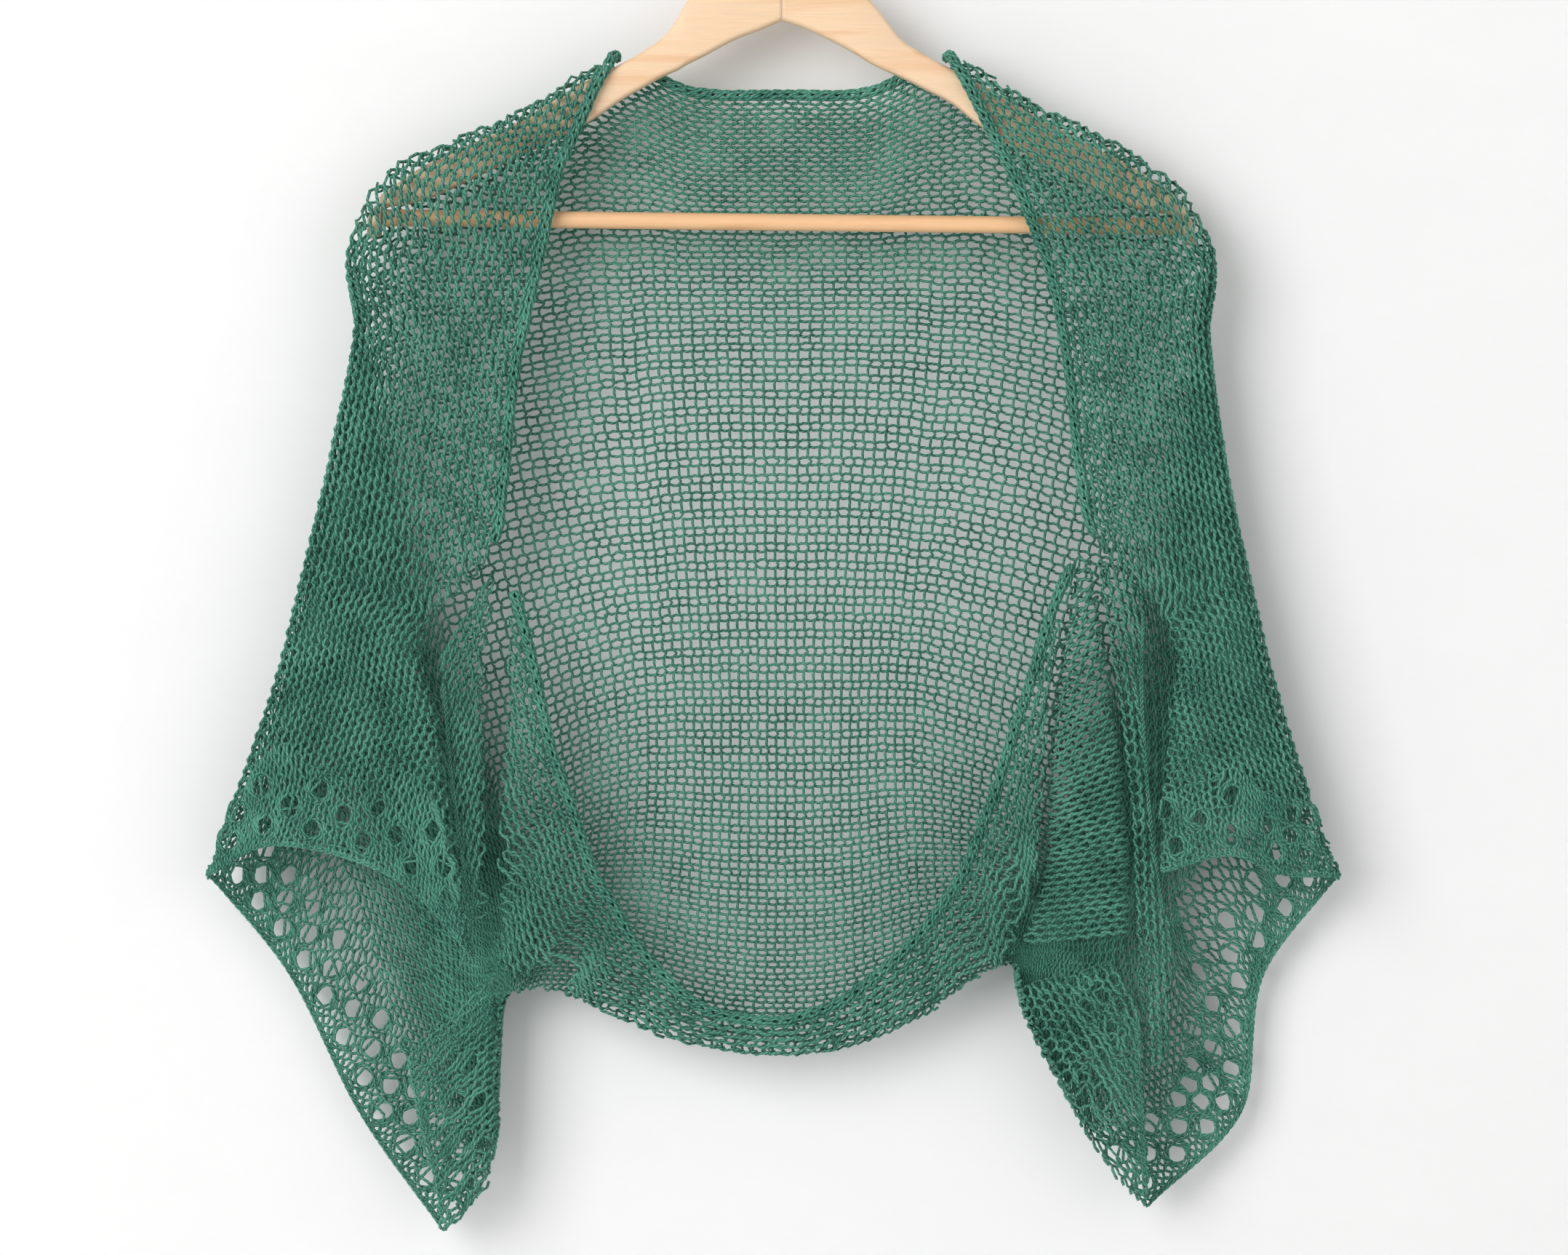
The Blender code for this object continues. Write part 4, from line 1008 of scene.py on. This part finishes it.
def braid(name, node_name, path):
    strands(name, node_name, path, 1.2, BRAID_YARN, 3, BRAID_PITCH, lambda t, front, beside:
            BRAID_SWING * (np.sin(t) * beside + BRAID_DEPTH * np.sin(2 * t) * front))


at = np.linspace(0, 1, 90)
for side, sign in SIDES:
    a = place(FRONTS[side], FRONT_DEPTH, LAST - BIND / front_rate[side](at), at)
    b = place(back_both, back_deep, sign * (LAST - BIND / back_rate[sign](at)), at)
    braid("bound_%s_cuff" % side, side + "_cuff_edge", np.concatenate((a[:-1], b[:-2])))
for side, low, deep, first, last in (("left", UNDER_LEFT, UNDER_LEFT_DEPTH, 10.5, 7.25),
                                     ("right", UNDER_RIGHT, UNDER_RIGHT_DEPTH, 0.3, 3.7)):
    keys = np.linspace(first, last, 40)
    lean = slant(low, deep, keys, np.ones(40))
    braid("bound_%s_cuff_under" % side, side + "_cuff_edge_under",
          place(low, deep, keys, 1 - BIND / (span(low, keys) * lean)))

# ---------------------------------------------------------------- underarm seams
# The edges of the rectangle are sewn together under each arm with the same
# yarn, over and over, which leaves a small ridge.
SEAM_PITCH, SEAM_TURN, SEAM_YARN = 5.5, 0.62, 0.5


def whip_seam(side, shape, depth, keys, inside, stand):
    """A seam a distance inside a panel's far edge, standing in front of the cloth."""
    line = place(shape, depth, keys, 1 - inside / span(shape, keys)) - (0, stand, 0)
    strands("seam_%s_sleeve" % side, side + "_sleeve_seam", line, 0.7, SEAM_YARN, 2, SEAM_PITCH,
            lambda t, front, beside: SEAM_TURN * (np.cos(t) * front + np.sin(t) * beside))


whip_seam("left", UNDER_LEFT, UNDER_LEFT_DEPTH, np.linspace(0.5775, 5.775, 60), 3.4, 3.3)
whip_seam("right", NARROW_RIGHT, NARROW_RIGHT_DEPTH, np.linspace(0.6, 6, 60), 2.4, 2.31)

# ---------------------------------------------------------------- room
# A plain pale wall close behind the garment and a plain pale floor far below.
# The wall is clear from behind, so the back of the garment can be seen.
WALL_GREY, FLOOR_GREY = (0.87, 0.87, 0.87), (0.80, 0.80, 0.80)
WALL_BEHIND, FLOOR_BELOW = 36.0, 1050.0


def flat_sheet(name, corners, colour, see_through=False):
    mesh = bpy.data.meshes.new(name)
    mesh.from_pydata([tuple(0.001 * v for v in c) for c in corners], [], [(0, 1, 2, 3)])
    paint, tree, face = empty_material(name)
    grain = node(tree, "TexNoise", Scale=60.0, Detail=4, Roughness=0.6)
    tone = ramp(tree, grain, ((0.3, tuple(c * 0.985 for c in colour)), (0.7, colour)))
    link(tree, tone, "Color", face, "Base Color")
    settle(face, Roughness=0.9)
    if see_through:
        either = node(tree, "MixShader")
        link(tree, node(tree, "NewGeometry"), "Backfacing", either, "Fac")
        link(tree, face, "BSDF", either, 1)
        link(tree, node(tree, "BsdfTransparent"), "BSDF", either, 2)
        link(tree, either, "Shader", tree.nodes["Material Output"], "Surface")
    mesh.materials.append(paint)
    put(name, mesh)


flat_sheet("room_wall", [(x, WALL_BEHIND, z) for x, z in (
    (-2600, -FLOOR_BELOW), (2600, -FLOOR_BELOW), (2600, 1600), (-2600, 1600))], WALL_GREY, True)
flat_sheet("room_floor", [(x, y, -FLOOR_BELOW) for x, y in (
    (-4000, -4000), (4000, -4000), (4000, 4000), (-4000, 4000))], FLOOR_GREY)

# ---------------------------------------------------------------- light and camera
# Wide soft daylight from the upper left and front, a weaker fill from the
# right, one behind for the other views, and a long lens square to the wall.
LAMPS = (
    ("day_left", (-2.7, -4.0, 0.9), 3.2, 166),
    ("fill_right", (3.2, -3.6, 0.2), 3.8, 38),
    ("behind", (0.5, 2.6, 1.2), 2.4, 80),
)
MIDDLE = (0.0, 0.0, -0.42)
CAMERA_X, CAMERA_Z, CAMERA_AWAY = 0.0011, -0.4133, 3.0


def look(thing, at, target):
    thing.location = at
    way = [b - a for a, b in zip(at, target)]
    flat = math.hypot(way[0], way[1])
    thing.rotation_euler = (math.atan2(flat, -way[2]), 0, math.atan2(-way[0], way[1]))


for name, at, size, power in LAMPS:
    lamp = bpy.data.lights.new(name, "AREA")
    lamp.shape, lamp.size, lamp.energy = "SQUARE", size, power
    look(put(name, lamp), at, MIDDLE)

world = bpy.data.worlds.new("pale_room")
world.use_nodes = True
settle(world.node_tree.nodes["Background"], Color=(1.0, 0.995, 0.985, 1), Strength=0.44)
bpy.context.scene.world = world
bpy.context.scene.view_settings.view_transform = "Standard"

lens = bpy.data.cameras.new("camera")
lens.sensor_width, lens.lens = 36, 130.8
lens.clip_start, lens.clip_end = 0.1, 30
camera = put("camera", lens)
look(camera, (CAMERA_X, -CAMERA_AWAY, CAMERA_Z), (CAMERA_X, 0, CAMERA_Z))
bpy.context.scene.camera = camera
